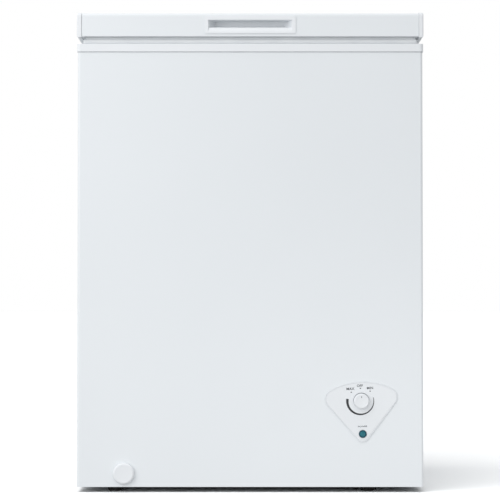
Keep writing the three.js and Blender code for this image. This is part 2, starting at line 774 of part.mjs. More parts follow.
function makeLidLiner() {
  const half = LID_HALF - GAP;
  const low = LID_BOTTOM + GAP;
  const flange = block(-half, half, LID_FRONT + INSIDE, LID_REAR - INSIDE, low, low + PLASTIC);
  return cut(
    join(flange, slab(plugPlan(0), PLUG_BOTTOM, low + PLASTIC)),
    slab(plugPlan(PLASTIC), PLUG_BOTTOM + PLASTIC, low + 10),
  );
}

function makeLidInsulation() {
  const low = LID_BOTTOM + PLASTIC + 2 * GAP;
  const half = LID_HALF - 2 * GAP;
  return cut(
    join(
      bar(lidSection(-INSIDE, low), -half, half),
      slab(plugPlan(PLASTIC + GAP), PLUG_BOTTOM + PLASTIC + GAP, low + 5),
    ),
    handleBody(GAP),
    block(-HANDLE_HALF, HANDLE_HALF, LID_FRONT - 5, LID_FRONT + INSIDE + 1, HANDLE_LOW, HANDLE_HIGH),
  );
}

function gasketBand(inset, z0, z1) {
  const inner = inset + GASKET_WIDTH - 2 * inset;
  const plan = (by) => roundedRectangle(
    by - GASKET_HALF, GASKET_HALF - by, GASKET_FRONT + by, GASKET_REAR - by, Math.max(10 - by, 1),
  );
  return cut(slab(plan(inset), z0, z1, 2), slab(plan(inner), z0 - 5, z1 + 5, 2));
}

function makeLidGasket() {
  const low = COLLAR_TOP + GAP;
  return join(
    gasketBand(0, low, low + 6.5),
    gasketBand(4, low + 6, LID_BOTTOM - 2.5),
    gasketBand(0, LID_BOTTOM - 3, LID_BOTTOM),
  );
}

// The finger pocket: a sloping floor with a rolled front lip, between slanted ends.
function pocketHollow() {
  const front = LID_FRONT - 1.3;
  const back = LID_FRONT + POCKET_DEPTH;
  const profile = new THREE.Shape();
  profile.moveTo(front - 2, POCKET_ROOF);
  profile.lineTo(front - 2, POCKET_FLOOR - 5.4);
  profile.lineTo(front, POCKET_FLOOR - 5.4);
  profile.quadraticCurveTo(front + 1, POCKET_FLOOR, front + 6, POCKET_FLOOR);
  profile.lineTo(back, POCKET_FLOOR_BACK);
  profile.lineTo(back, POCKET_ROOF - 0.6);
  profile.closePath();
  const plan = polygon([[-POCKET_HALF, front - 3], [POCKET_HALF, front - 3], [POCKET_HALF, front + 1],
    [POCKET_BACK_HALF, back], [-POCKET_BACK_HALF, back], [-POCKET_HALF, front + 1]]);
  return common(bar(profile, -100, 100, 5), slab(plan, HANDLE_LOW - 5, HANDLE_HIGH + 5));
}

function makeHandleInsert() {
  const outline = roundedRectangle(-HANDLE_HALF, HANDLE_HALF, HANDLE_LOW, HANDLE_HIGH, 3);
  const frame = plate(outline, LID_FRONT - GAP - 1, LID_FRONT - GAP, 3);
  return cut(join(frame, handleBody(0)), pocketHollow());
}

// ---- Hinges, drawn about x = 0 ---------------------------------------------

// The cam face: at every lid angle its lowest point is level and stands over one line.
function camPoint(degrees) {
  const angle = THREE.MathUtils.degToRad(degrees);
  const height = CAM_REST - CAM_RATE * angle;
  return [
    PIN_Y + height * Math.sin(angle) - CAM_RATE * Math.cos(angle),
    PIN_Z - height * Math.cos(angle) - CAM_RATE * Math.sin(angle),
  ];
}

function makeHingeArm() {
  const face = LID_REAR + GAP;
  const cam = [-3, 0, 8, 16, 24, 32, 40, 48, 56, 64, 72, 80, 90].map(camPoint);
  const web = polygon([...cam, [PIN_Y + 8.6, PIN_Z + 6], [PIN_Y - 4, PIN_Z + 18],
    [face + 2, PIN_Z + 42], [face + 1, PIN_Z + 10.5], [face + 2.5, PIN_Z + 10.5]]);
  return cut(
    join(bar(web, -10, 10), block(-20, 20, face, face + 2.5, PIN_Z + 10, PIN_Z + 46)),
    rodAlongX(PIN_RADIUS + GAP, -15, 15, PIN_Y, PIN_Z),
  );
}

function makeHingeBase() {
  const face = CABINET_REAR + GAP;
  const cheek = (x0, x1) => block(x0, x1, face + 1.9, PIN_Y + 8.5, 690, PIN_Z + 8);
  return cut(
    join(
      block(-20, 20, face, face + 2, 690, WRAP_TOP + 0.5),
      cheek(-17, -15),
      cheek(15, 17),
      block(-16, 16, face + 1, PIN_Y + 8.5, SPRING_FOOT - 3, SPRING_FOOT),
    ),
    rodAlongX(PIN_RADIUS + GAP, -30, 30, PIN_Y, PIN_Z),
  );
}

function makeHingePin() {
  return rodAlongX(PIN_RADIUS, -18.4, 18.4, PIN_Y, PIN_Z);
}

function makeHingeCover() {
  const front = CABINET_REAR + 2.6;
  const outer = polygon([[front, 686], [280, 686], [280, 788], [272, 805], [front, 805]]);
  const inner = polygon([[front - 10, 688], [277.5, 688], [277.5, 900], [front - 10, 900]]);
  return cut(bar(outer, -21, 21), bar(inner, -19, 19));
}

function makeHingePlunger() {
  return join(
    block(-11, 11, SPRING_Y - 11, SPRING_Y + 11, PLUNGER_TOP - 4.3, PLUNGER_TOP),
    rodAlongZ(4.8, SPRING_FOOT + 18, PLUNGER_TOP - 4, 0, SPRING_Y),
  );
}

function makeHingeSpring() {
  const wire = 1.4;
  const turns = 7;
  const stepsPerTurn = 6;
  const low = SPRING_FOOT + GAP + wire;
  const high = PLUNGER_TOP - 4.3 - GAP - wire;
  const points = [];
  for (let i = 0; i <= turns * stepsPerTurn; i += 1) {
    const angle = (i / stepsPerTurn) * 4 * QUARTER;
    const z = low + ((high - low) * i) / (turns * stepsPerTurn);
    points.push(new THREE.Vector3(7 * Math.cos(angle), SPRING_Y + 7 * Math.sin(angle), z));
  }
  return tube(points, wire, 6);
}

// ---- Basket ----------------------------------------------------------------

function makeStorageBasket() {
  const right = BASKET_LEFT + BASKET_WIDTH;
  const railLow = LEDGE_TOP + GAP;
  const railHigh = railLow + 6;
  const wall = 3;
  const body = roundedRectangle(BASKET_LEFT, right, BASKET_FRONT, BASKET_REAR, 14);
  const hollow = roundedRectangle(
    BASKET_LEFT + wall, right - wall, BASKET_FRONT + wall, BASKET_REAR - wall, 11,
  );
  return cut(
    join(
      slab(body, BASKET_BOTTOM, railHigh),
      block(BASKET_LEFT + 14, right - 14, LINER_FRONT + 5, LINER_REAR - 5, railLow, railHigh),
    ),
    slab(hollow, BASKET_BOTTOM + wall, railHigh + 5),
  );
}

// ---- Assembly --------------------------------------------------------------

piece(cabinet, 'outer_wrap', makeOuterWrap(), 'white_steel');
piece(cabinet, 'back_panel', makeBackPanel(), 'white_steel');
piece(cabinet, 'base_panel', makeBasePanel(), 'zinc_steel');
piece(cabinet, 'compressor_tray', makeCompressorTray(), 'zinc_steel');
piece(cabinet, 'cabinet_insulation', makeCabinetInsulation(), 'foam');
piece(cabinet, 'inner_liner', makeInnerLiner(), 'liner_metal');
piece(cabinet, 'top_collar', makeTopCollar(), 'white_plastic');
piece(cabinet, 'evaporator_coil', makeEvaporatorCoil(), 'copper');
piece(cabinet, 'condenser_coil', makeCondenserCoil(), 'zinc_steel');
piece(cabinet, 'compressor_shell', makeCompressorShell(), 'black_steel');
piece(cabinet, 'compressor_legs', makeCompressorLegs(), 'black_steel');
piece(cabinet, 'compressor_relay_cover', makeRelayCover(), 'black_plastic');
compressorMounts().forEach((place, index) => {
  piece(cabinet, `compressor_grommet_${index + 1}`, makeGrommet(place), 'rubber');
});
piece(cabinet, 'filter_drier', makeFilterDrier(), 'copper');
piece(cabinet, 'capillary_tube', makeCapillary(), 'copper');
piece(cabinet, 'suction_line', makeSuctionLine(), 'copper');
piece(cabinet, 'discharge_line', makeDischargeLine(), 'copper');
piece(cabinet, 'compressor_cover', makeCompressorCover(), 'white_steel');
piece(cabinet, 'cord_gland', makeCordGland(), 'black_plastic');
piece(cabinet, 'drain_tube', makeDrainTube(), 'white_plastic');
piece(cabinet, 'drain_outlet', makeDrainOutlet(), 'white_plastic');
Object.entries(FEET).forEach(([name, place]) => {
  const studTop = place[0] < BAY_LEFT ? BASE_TOP : CABINET_BOTTOM + TRAY_THICK;
  piece(cabinet, `foot_${name}`, makeFoot(place, studTop - 0.1), 'rubber');
});

const controls = new THREE.Group();
controls.position.set(KNOB_X, 0, KNOB_Z);
controls.rotation.y = -BEZEL_TILT;
cabinet.add(controls);
piece(controls, 'control_bezel', makeControlBezel(), 'white_plastic');
piece(controls, 'indicator_lens', makeIndicatorLens(), 'teal_lens');
piece(controls, 'indicator_lamp', makeIndicatorLamp(), 'black_plastic');
piece(cabinet, 'thermostat_body', makeThermostatBody(), 'zinc_steel');
piece(cabinet, 'thermostat_bulb_line', makeThermostatBulbLine(), 'copper');
piece(cabinet, 'wiring_harness', makeWiringHarness(), 'black_plastic');

piece(lid, 'lid_skin', makeLidSkin(), 'white_steel');
piece(lid, 'lid_end_cap_left', makeLidEndCap(-1), 'white_plastic');
piece(lid, 'lid_end_cap_right', makeLidEndCap(1), 'white_plastic');
piece(lid, 'lid_insulation', makeLidInsulation(), 'foam');
piece(lid, 'lid_liner', makeLidLiner(), 'white_plastic');
piece(lid, 'lid_gasket', makeLidGasket(), 'gasket');
piece(lid, 'handle_insert', makeHandleInsert(), 'white_plastic');

[['left', -HINGE_X], ['right', HINGE_X]].forEach(([side, x]) => {
  piece(cabinet, `hinge_base_${side}`, makeHingeBase().translate(x, 0, 0), 'zinc_steel');
  piece(cabinet, `hinge_cover_${side}`, makeHingeCover().translate(x, 0, 0), 'white_plastic');
  piece(cabinet, `hinge_spring_${side}`, makeHingeSpring().translate(x, 0, 0), 'zinc_steel');
  piece(lid, `hinge_arm_${side}`, makeHingeArm().translate(x, 0, 0), 'zinc_steel');
  piece(lid, `hinge_pin_${side}`, makeHingePin().translate(x, 0, 0), 'zinc_steel');
  piece(loose, `hinge_plunger_${side}`, makeHingePlunger().translate(x, 0, 0), 'black_plastic');
});

piece(loose, 'control_knob', makeControlKnob(), 'white_plastic');
piece(loose, 'thermostat_spindle', makeThermostatSpindle(), 'zinc_steel');
piece(loose, 'drain_cap', makeDrainCap(), 'white_plastic');
piece(loose, 'liner_drain_plug', makeDrainPlug(), 'white_plastic');
piece(loose, 'storage_basket', makeStorageBasket(), 'wire_white');

export default freezer;
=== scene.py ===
# %% [markdown]
# # A small chest freezer
# This lesson finishes a chest freezer whose solids, sizes and joints already exist in a packed
# frame. The frame is loaded first and never moved. Each later cell adds one finish or one piece,
# and says why it is made that way.

# %% Load the frame and measure it
import json
import math

import bmesh
import bpy
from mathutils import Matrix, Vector

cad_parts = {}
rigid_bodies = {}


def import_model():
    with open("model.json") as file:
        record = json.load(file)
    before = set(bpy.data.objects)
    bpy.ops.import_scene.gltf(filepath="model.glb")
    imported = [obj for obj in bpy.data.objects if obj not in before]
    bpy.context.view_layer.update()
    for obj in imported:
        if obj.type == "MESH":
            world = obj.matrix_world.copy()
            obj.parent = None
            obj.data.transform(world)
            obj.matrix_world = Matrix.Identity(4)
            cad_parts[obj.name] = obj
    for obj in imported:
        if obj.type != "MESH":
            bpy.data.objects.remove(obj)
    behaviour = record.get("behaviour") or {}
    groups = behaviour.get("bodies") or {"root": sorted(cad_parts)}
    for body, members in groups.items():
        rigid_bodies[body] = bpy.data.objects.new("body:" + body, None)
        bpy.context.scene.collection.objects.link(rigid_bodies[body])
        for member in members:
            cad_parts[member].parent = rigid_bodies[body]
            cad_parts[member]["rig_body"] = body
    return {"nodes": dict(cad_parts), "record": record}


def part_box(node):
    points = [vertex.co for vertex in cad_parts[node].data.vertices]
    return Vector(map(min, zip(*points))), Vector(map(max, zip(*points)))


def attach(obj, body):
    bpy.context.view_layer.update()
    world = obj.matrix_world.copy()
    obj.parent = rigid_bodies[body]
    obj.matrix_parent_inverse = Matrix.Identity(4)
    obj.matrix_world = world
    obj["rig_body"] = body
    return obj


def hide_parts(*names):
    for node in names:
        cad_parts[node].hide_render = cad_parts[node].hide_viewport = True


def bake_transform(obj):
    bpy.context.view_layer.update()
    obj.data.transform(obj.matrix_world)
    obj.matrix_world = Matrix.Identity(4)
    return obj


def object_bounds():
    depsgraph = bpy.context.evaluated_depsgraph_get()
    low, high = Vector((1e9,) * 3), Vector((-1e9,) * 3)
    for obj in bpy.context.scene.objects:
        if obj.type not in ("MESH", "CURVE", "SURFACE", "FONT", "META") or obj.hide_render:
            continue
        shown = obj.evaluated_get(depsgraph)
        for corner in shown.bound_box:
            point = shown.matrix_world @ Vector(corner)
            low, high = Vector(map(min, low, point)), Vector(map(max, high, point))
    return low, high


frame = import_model()
cad_low, cad_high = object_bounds()
nodes = frame["nodes"]
MM = 0.001
print("the frame has", len(nodes), "solids, from", tuple(cad_low), "to", tuple(cad_high))

# %% [markdown]
# ## Small helpers
# Every finished piece sits at the origin with its place in its mesh. Most ride on one body of the
# frame, take their finish, and may stand for a plainer solid, which is then hidden. One helper
# does all of that. Another turns smooth shading on, keeps real corners sharp and keeps flat faces
# flat. The last ones build closed meshes from rings and outlines of points.

# %% Helpers that place a piece
def add_object(name, mesh):
    piece = bpy.data.objects.new(name, mesh)
    bpy.context.scene.collection.objects.link(piece)
    return piece


def settle(piece, body, material, stands_for=()):
    piece.data.materials.clear()
    piece.data.materials.append(material)
    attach(piece, body)
    if stands_for:
        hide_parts(*stands_for)
    return piece


# %% A helper that shades a mesh
def shade(mesh, degrees=35):
    """Smooth shading that keeps real corners, and keeps large faces flat beside rounded edges."""
    mesh.shade_smooth()
    mesh.set_sharp_from_angle(angle=math.radians(degrees))
    helper = add_object("shading_helper", mesh)
    even = helper.modifiers.new("even", "WEIGHTED_NORMAL")
    even.keep_sharp = True
    even.weight = 60
    weighted = helper.evaluated_get(bpy.context.evaluated_depsgraph_get()).to_mesh()
    normals = [corner.vector.copy() for corner in weighted.corner_normals]
    helper.evaluated_get(bpy.context.evaluated_depsgraph_get()).to_mesh_clear()
    bpy.data.objects.remove(helper)
    mesh.normals_split_custom_set(normals)


# %% Helpers that build a mesh
def mesh_from(name, verts, faces):
    mesh = bpy.data.meshes.new(name)
    mesh.from_pydata([tuple(v) for v in verts], [], faces)
    bm = bmesh.new()
    bm.from_mesh(mesh)
    bmesh.ops.remove_doubles(bm, verts=bm.verts, dist=1e-7)
    bmesh.ops.recalc_face_normals(bm, faces=bm.faces)
    bm.to_mesh(mesh)
    bm.free()
    return mesh


def joined_rings(rings, count, closed=False):
    """Four-sided faces between rings of points that follow one another."""
    faces = []
    for ring in range(rings if closed else rings - 1):
        first = ring * count
        second = (ring + 1) % rings * count
        for point in range(count):
            after = (point + 1) % count
            faces.append((first + point, first + after, second + after, second + point))
    return faces


def slab(name, front, back):
    """Joins two outlines that have as many points, and closes both."""
    count = len(front)
    faces = [list(range(count)), list(range(2 * count - 1, count - 1, -1))]
    faces += joined_rings(2, count)
    return mesh_from(name, front + back, faces)


def body_of_node(node):
    return nodes[node]["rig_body"]


# %% [markdown]
# ## Helpers for materials
# A surface is never one flat colour. The helper below links a pair of close colours through soft
# noise, spreads the roughness a little, and adds a fine bump. Values that are the same all over
# are set on the shader itself.

# %% Helpers that start a shader
def srgb(red, green, blue):
    def linear(level):
        level /= 255
        return level / 12.92 if level <= 0.04045 else ((level + 0.055) / 1.055) ** 2.4
    return (linear(red), linear(green), linear(blue), 1.0)


def start_material(name, **constants):
    material = bpy.data.materials.new(name)
    material.use_nodes = True
    tree = material.node_tree
    shader = tree.nodes["Principled BSDF"]
    for title, value in constants.items():
        shader.inputs[title.replace("_", " ")].default_value = value
    place = tree.nodes.new("ShaderNodeTexCoord").outputs["Object"]
    return material, tree, shader, place


# %% Helpers that make patterns
def noise(tree, place, scale, detail=2.0, stretch=None):
    if stretch:
        mapping = tree.nodes.new("ShaderNodeMapping")
        mapping.inputs["Scale"].default_value = stretch
        tree.links.new(place, mapping.inputs["Vector"])
        place = mapping.outputs["Vector"]
    node = tree.nodes.new("ShaderNodeTexNoise")
    node.inputs["Scale"].default_value = scale
    node.inputs["Detail"].default_value = detail
    tree.links.new(place, node.inputs["Vector"])
    return node.outputs["Fac"]


def cells(tree, place, scale, feature="F1", output="Distance"):
    node = tree.nodes.new("ShaderNodeTexVoronoi")
    node.feature = feature
    node.inputs["Scale"].default_value = scale
    tree.links.new(place, node.inputs["Vector"])
    return node.outputs[output]


def spread(tree, value, low, high, start=0.3, stop=0.7):
    node = tree.nodes.new("ShaderNodeMapRange")
    limits = {"From Min": start, "From Max": stop, "To Min": low, "To Max": high}
    for title, number in limits.items():
        node.inputs[title].default_value = number
    tree.links.new(value, node.inputs["Value"])
    return node.outputs["Result"]


# %% Helpers that lead a pattern to the shader
def colour_between(tree, value, first, second, start=0.3, stop=0.7):
    ramp = tree.nodes.new("ShaderNodeValToRGB")
    ramp.color_ramp.elements[0].position = start
    ramp.color_ramp.elements[0].color = first
    ramp.color_ramp.elements[1].position = stop
    ramp.color_ramp.elements[1].color = second
    tree.links.new(value, ramp.inputs["Fac"])
    return ramp.outputs["Color"]


def raise_bump(tree, shader, height, distance, strength=1.0):
    bump = tree.nodes.new("ShaderNodeBump")
    bump.inputs["Distance"].default_value = distance
    bump.inputs["Strength"].default_value = strength
    tree.links.new(height, bump.inputs["Height"])
    tree.links.new(bump.outputs["Normal"], shader.inputs["Normal"])


def mottled(name, first, second, patch, rough, grain, depth, **constants):
    """Two close colours in soft patches, a spread of roughness and a fine grain."""
    material, tree, shader, place = start_material(name, **constants)
    patches = noise(tree, place, patch, detail=3.0)
    tree.links.new(colour_between(tree, patches, first, second), shader.inputs["Base Color"])
    fine = noise(tree, place, grain, detail=2.0)
    tree.links.new(spread(tree, fine, *rough), shader.inputs["Roughness"])
    raise_bump(tree, shader, fine, depth)
    return material


# %% [markdown]
# ## White enamel and white plastic
# The sheets are sprayed and baked enamel: an even cool white with a slight orange peel that only
# shows in its reflections. The lid caps, collar, handle and control plate are moulded plastic, a
# shade warmer and duller, with the fine sparkle of an etched mould.

# %% Make the white finishes
white_enamel = mottled(
    "white_enamel", srgb(228, 232, 235), srgb(231, 235, 238), patch=1.6,
    rough=(0.46, 0.52), grain=420.0, depth=0.00001, Specular_IOR_Level=0.35,
)
white_plastic = mottled(
    "white_plastic", srgb(229, 232, 235), srgb(232, 235, 238), patch=7.0,
    rough=(0.48, 0.58), grain=1900.0, depth=0.000012, Specular_IOR_Level=0.35,
)
print("two white finishes")

# %% [markdown]
# ## Liner, zinc and black finishes
# The liner is painted aluminium sheet rolled with a pebble pattern, which hides dents. A cell
# texture gives the pebbles their rounded edges. Zinc plate shows crystals a few millimetres
# across, each with its own tone. The compressor wears thick black paint, and the feet are plain
# moulded rubber.

# %% Make the liner, zinc, black and rubber finishes
def make_liner_sheet():
    material, tree, shader, place = start_material("liner_sheet", Metallic=0.15, Specular_IOR_Level=0.5)
    pebbles = cells(tree, place, 210.0, feature="SMOOTH_F1")
    tone = colour_between(tree, pebbles, srgb(226, 230, 233), srgb(236, 239, 241), 0.1, 0.7)
    tree.links.new(tone, shader.inputs["Base Color"])
    tree.links.new(spread(tree, noise(tree, place, 30.0), 0.30, 0.42), shader.inputs["Roughness"])
    raise_bump(tree, shader, pebbles, 0.0005, strength=0.55)
    return material


def make_zinc_plate():
    material, tree, shader, place = start_material("zinc_plate", Metallic=1.0)
    crystal = cells(tree, place, 160.0, output="Color")
    tone = colour_between(tree, crystal, srgb(148, 152, 155), srgb(188, 191, 193), 0.1, 0.9)
    tree.links.new(tone, shader.inputs["Base Color"])
    tree.links.new(spread(tree, crystal, 0.32, 0.5, 0.0, 1.0), shader.inputs["Roughness"])
    raise_bump(tree, shader, noise(tree, place, 600.0), 0.00002)
    return material


liner_sheet = make_liner_sheet()
zinc_plate = make_zinc_plate()
black_enamel = mottled(
    "black_enamel", srgb(20, 21, 23), srgb(30, 31, 33), patch=40.0,
    rough=(0.22, 0.34), grain=300.0, depth=0.00005,
)
black_plastic = mottled(
    "black_plastic", srgb(25, 26, 28), srgb(34, 35, 37), patch=60.0,
    rough=(0.42, 0.6), grain=1600.0, depth=0.00002,
)
black_rubber = mottled(
    "black_rubber", srgb(20, 20, 20), srgb(31, 30, 29), patch=90.0,
    rough=(0.68, 0.85), grain=900.0, depth=0.00003, Specular_IOR_Level=0.3,
)
seal_rubber = mottled(
    "seal_rubber", srgb(219, 222, 225), srgb(226, 229, 231), patch=25.0,
    rough=(0.5, 0.65), grain=700.0, depth=0.00002,
)
print("liner, zinc, black, rubber and seal finishes")

# %% [markdown]
# ## Copper, foam, lens, wire and ink
# Copper tube has faint marks along its length and a stain here and there. The foam is a rigid
# yellow one with small open cells on its cut faces. The pilot lens is dark tinted plastic, and
# unlit it reads as one solid colour. Ink is a thin dull film; the grey ink also serves as painted
# shade round the dial's knob.

# %% Make the copper and foam finishes
def make_copper_tube():
    material, tree, shader, place = start_material("copper_tube", Metallic=1.0)
    stain = noise(tree, place, 28.0, detail=4.0)
    tone = colour_between(tree, stain, srgb(150, 84, 52), srgb(201, 124, 82))
    tree.links.new(tone, shader.inputs["Base Color"])
    drawn = noise(tree, place, 300.0, stretch=(1.0, 1.0, 0.15))
    tree.links.new(spread(tree, drawn, 0.25, 0.42), shader.inputs["Roughness"])
    raise_bump(tree, shader, drawn, 0.00003)
    return material


def make_foam():
    material, tree, shader, place = start_material(
        "insulation_foam", Roughness=0.95, Specular_IOR_Level=0.2,
    )
    pores = cells(tree, place, 420.0)
    patches = noise(tree, place, 18.0, detail=4.0)
    tone = colour_between(tree, patches, srgb(222, 203, 140), srgb(238, 224, 170))
    tree.links.new(tone, shader.inputs["Base Color"])
    raise_bump(tree, shader, pores, 0.0004, strength=0.6)
    return material


insulation_foam = make_foam()
copper_tube = make_copper_tube()
print("copper and foam finishes")

# %% Make the lens, wire and ink finishes
teal_lens = mottled(
    "teal_lens", srgb(12, 98, 112), srgb(20, 112, 126), patch=240.0,
    rough=(0.2, 0.28), grain=900.0, depth=0.00001, Specular_IOR_Level=0.3, Coat_Weight=0.1,
)
teal_ring = mottled(
    "teal_ring", srgb(26, 66, 80), srgb(34, 82, 96), patch=240.0,
    rough=(0.18, 0.28), grain=900.0, depth=0.00001,
)
coated_wire = mottled(
    "coated_wire", srgb(232, 234, 235), srgb(240, 241, 242), patch=60.0,
    rough=(0.28, 0.4), grain=500.0, depth=0.00004,
)
black_ink = mottled(
    "black_ink", srgb(30, 32, 35), srgb(38, 40, 43), patch=400.0,
    rough=(0.5, 0.6), grain=2500.0, depth=0.000004,
)
dark_ink = mottled(
    "dark_ink", srgb(62, 66, 70), srgb(72, 76, 80), patch=400.0,
    rough=(0.5, 0.6), grain=2500.0, depth=0.000004,
)
# This grey ink prints the dial's mark and the word POWER, and it is also used for the ring of painted
# shade round the knob.
grey_ink_and_painted_shade = mottled(
    "grey_ink_and_painted_shade", srgb(96, 101, 106), srgb(108, 113, 118), patch=400.0,
    rough=(0.5, 0.6), grain=2500.0, depth=0.000004,
)
print("lens, wire and ink finishes")

# %% List the finishes by slot
finishes = {
    "white_enamel": white_enamel, "white_plastic": white_plastic, "liner_sheet": liner_sheet,
    "zinc_plate": zinc_plate, "black_enamel": black_enamel, "black_plastic": black_plastic,
    "black_rubber": black_rubber, "seal_rubber": seal_rubber, "copper_tube": copper_tube,
    "insulation_foam": insulation_foam, "teal_lens": teal_lens, "coated_wire": coated_wire,
}
print(len(finishes), "finishes for the frame's slots")

# %% [markdown]
# ## Give every solid its finish
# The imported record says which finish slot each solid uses. Reading it keeps this file and the
# frame in step: a solid added to the frame later still gets a finish.

# %% Assign the finishes by slot
slot_of = {part["node"]: part["material_slot"] for part in frame["record"]["subparts"]}
for node, slot_name in slot_of.items():
    data = nodes[node].data
    data.materials.clear()
    data.materials.append(finishes[slot_name])
print("finished", len(slot_of), "solids")

# %% [markdown]
# ## Round the edges of the solids that show
# Real sheet and moulded edges are never knife sharp, and the thin bright or dark line along an
# edge is what makes a part look made. A Bevel modifier would round every edge alike. Here the
# mesh is copied, its loose triangles are merged into flat faces, and chosen edges are rounded by
# chosen amounts.

# %% A helper that copies a solid
def merged_copy(node):
    bm = bmesh.new()
    bm.from_mesh(nodes[node].data)
    bmesh.ops.remove_doubles(bm, verts=bm.verts, dist=2e-6)
    bmesh.ops.dissolve_limit(bm, angle_limit=math.radians(0.6), verts=bm.verts, edges=bm.edges)
    return bm


# %% Helpers that round edges and finish the copy
def every_edge(edge):
    return True


def round_edges(bm, rounds):
    """Rounds the chosen edges where two faces meet at a real corner."""
    real_corner = math.radians(40)
    for width, segments, chosen in rounds:
        sharp = [
            edge for edge in bm.edges
            if edge.is_manifold and edge.calc_face_angle(0.0) > real_corner and chosen(edge)
        ]
        bmesh.ops.bevel(
            bm, geom=sharp, offset=width, segments=segments, profile=0.5,
            affect="EDGES", clamp_overlap=True,
        )


def finish_copy(node, bm):
    mesh = bpy.data.meshes.new(node + "_finished")
    bm.to_mesh(mesh)
    bm.free()
    shade(mesh)
    piece = add_object(node + "_finished", mesh)
    return settle(piece, body_of_node(node), finishes[slot_of[node]], [node])


def rounded_copy(node, rounds):
    bm = merged_copy(node)
    round_edges(bm, rounds)
    return finish_copy(node, bm)


def middle(edge):
    return (edge.verts[0].co + edge.verts[1].co) / 2


# %% Round the sheets and the moulded pieces
sheet_round = [(0.25 * MM, 2, every_edge)]
small_round = [(0.5 * MM, 2, every_edge)]
moulded_round = [(1.1 * MM, 3, every_edge)]


def on_lid_side(edge):
    return abs(middle(edge).x) > cad_high.x - 0.5 * MM


edge_plan = {
    "outer_wrap": sheet_round, "back_panel": sheet_round,
    "lid_skin": sheet_round, "inner_liner": sheet_round,
    "top_collar": [(0.5 * MM, 3, every_edge)],
    "lid_end_cap_left": [(2.4 * MM, 5, on_lid_side)],
    "lid_end_cap_right": [(2.4 * MM, 5, on_lid_side)],
    "hinge_cover_left": moulded_round, "hinge_cover_right": moulded_round,
    "hinge_base_left": small_round, "hinge_base_right": small_round,
    "hinge_arm_left": small_round, "hinge_arm_right": small_round,
    "hinge_pin_left": small_round, "hinge_pin_right": small_round,
    "compressor_cover": sheet_round, "liner_drain_plug": small_round, "cord_gland": small_round,
    "foot_front_left": small_round, "foot_front_right": small_round,
    "foot_rear_left": small_round, "foot_rear_right": small_round,
}
for node, rounds in edge_plan.items():
    piece = rounded_copy(node, rounds)
    print("rounded", node, "with", len(piece.data.polygons), "faces")

# %% [markdown]
# ## The finger pocket in the lid
# The pocket's floor rolls up from its mouth so that fingertips close round a smooth lip. The copy
# of the solid gets a fuller roll than the plain one: points of the floor are lifted more the
# further they lie behind the mouth, up to a limit, and the edges are rounded afterwards.

# %% Roll the lip of the finger pocket
insert_low, insert_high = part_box("handle_insert")
pocket_half = insert_high.x - 6 * MM
floor_zone = (insert_low.z + 2.4 * MM, insert_low.z + 12.6 * MM)
lip_rise = 3.2 * MM
lip_depth = 4.0 * MM
just_behind = 0.02
bm = merged_copy("handle_insert")
lifted = 0
for vertex in bm.verts:
    behind = min((vertex.co.y - insert_low.y) / lip_depth, 1.0)
    in_floor = abs(vertex.co.x) < pocket_half and floor_zone[0] < vertex.co.z < floor_zone[1]
    if in_floor and behind > just_behind:
        vertex.co.z += lip_rise * math.sin(math.pi / 2 * behind)
        lifted += 1
round_edges(bm, small_round)
finish_copy("handle_insert", bm)
print("lifted", lifted, "points of the pocket's floor by up to", round(1000 * lip_rise, 1), "mm")

# %% [markdown]
# ## Turned pieces
# The dial, the drain cap and the pilot lens are round. Each is an outline of radius and depth
# turned about its own axis, with enough steps to look smooth close up. The outline is worked out
# from the frame's own box for the piece.

# %% A helper that turns an outline about a line along Y
def turned(name, outline, centre, steps=72):
    verts = []
    for radius, depth in outline:
        for step in range(steps):
            angle = 2 * math.pi * step / steps
            x = centre.x + radius * math.cos(angle)
            verts.append((x, depth, centre.z + radius * math.sin(angle)))
    mesh = mesh_from(name, verts, joined_rings(len(outline), steps))
    shade(mesh)
    return mesh


def arc_outline(centre_radius, centre_depth, radius, start, stop, count=8):
    points = []
    for index in range(count + 1):
        angle = math.radians(start + (stop - start) * index / count)
        point = (centre_radius + radius * math.cos(angle), centre_depth + radius * math.sin(angle))
        points.append(point)
    return points


print("ready to turn round pieces")

# %% [markdown]
# ## The dial
# A low white knob with a dished face and a sloping side. A short grey mark at its top points at
# the scale. Round the knob a thin grey ring of painted shade lies on the plate, centred a little
# high, so a dark line shows round the knob, wider above.

# %% Turn the dial knob
knob_low, knob_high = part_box("control_knob")
knob_centre = (knob_low + knob_high) / 2
knob_radius = (knob_high.x - knob_low.x) / 2
knob_front = knob_low.y
knob_back = knob_high.y
socket_radius = 3.3 * MM
socket_floor = knob_back - 5.5 * MM
roll = 0.7 * MM
slope = 1.5 * MM
dish = 0.5 * MM
dish_floor = knob_front + dish
knob_outline = [
    (0.0, socket_floor),
    (socket_radius, socket_floor),
    (socket_radius, knob_back),
    (knob_radius, knob_back),
    (knob_radius, knob_front + 3.2 * MM),
    (knob_radius - 0.3 * MM, knob_front + 2.4 * MM),
    (knob_radius - slope, knob_front + roll),
]
knob_outline += arc_outline(knob_radius - slope - roll, knob_front + roll, roll, 0, -90)
knob_outline += [
    (knob_radius - 4.2 * MM, knob_front + 0.05 * MM),
    (knob_radius - 5.0 * MM, dish_floor),
    (0.0, dish_floor),
]
knob_mesh = turned("dial_knob", knob_outline, knob_centre, steps=96)
settle(
    add_object("dial_knob", knob_mesh),
    "knob", white_plastic, ["control_knob"],
)
print("the dial is", round(2000 * knob_radius, 1), "mm across")

# %% Set the painted shade ring behind the knob
plate_low, plate_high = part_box("control_bezel")
plate_front = plate_low.y
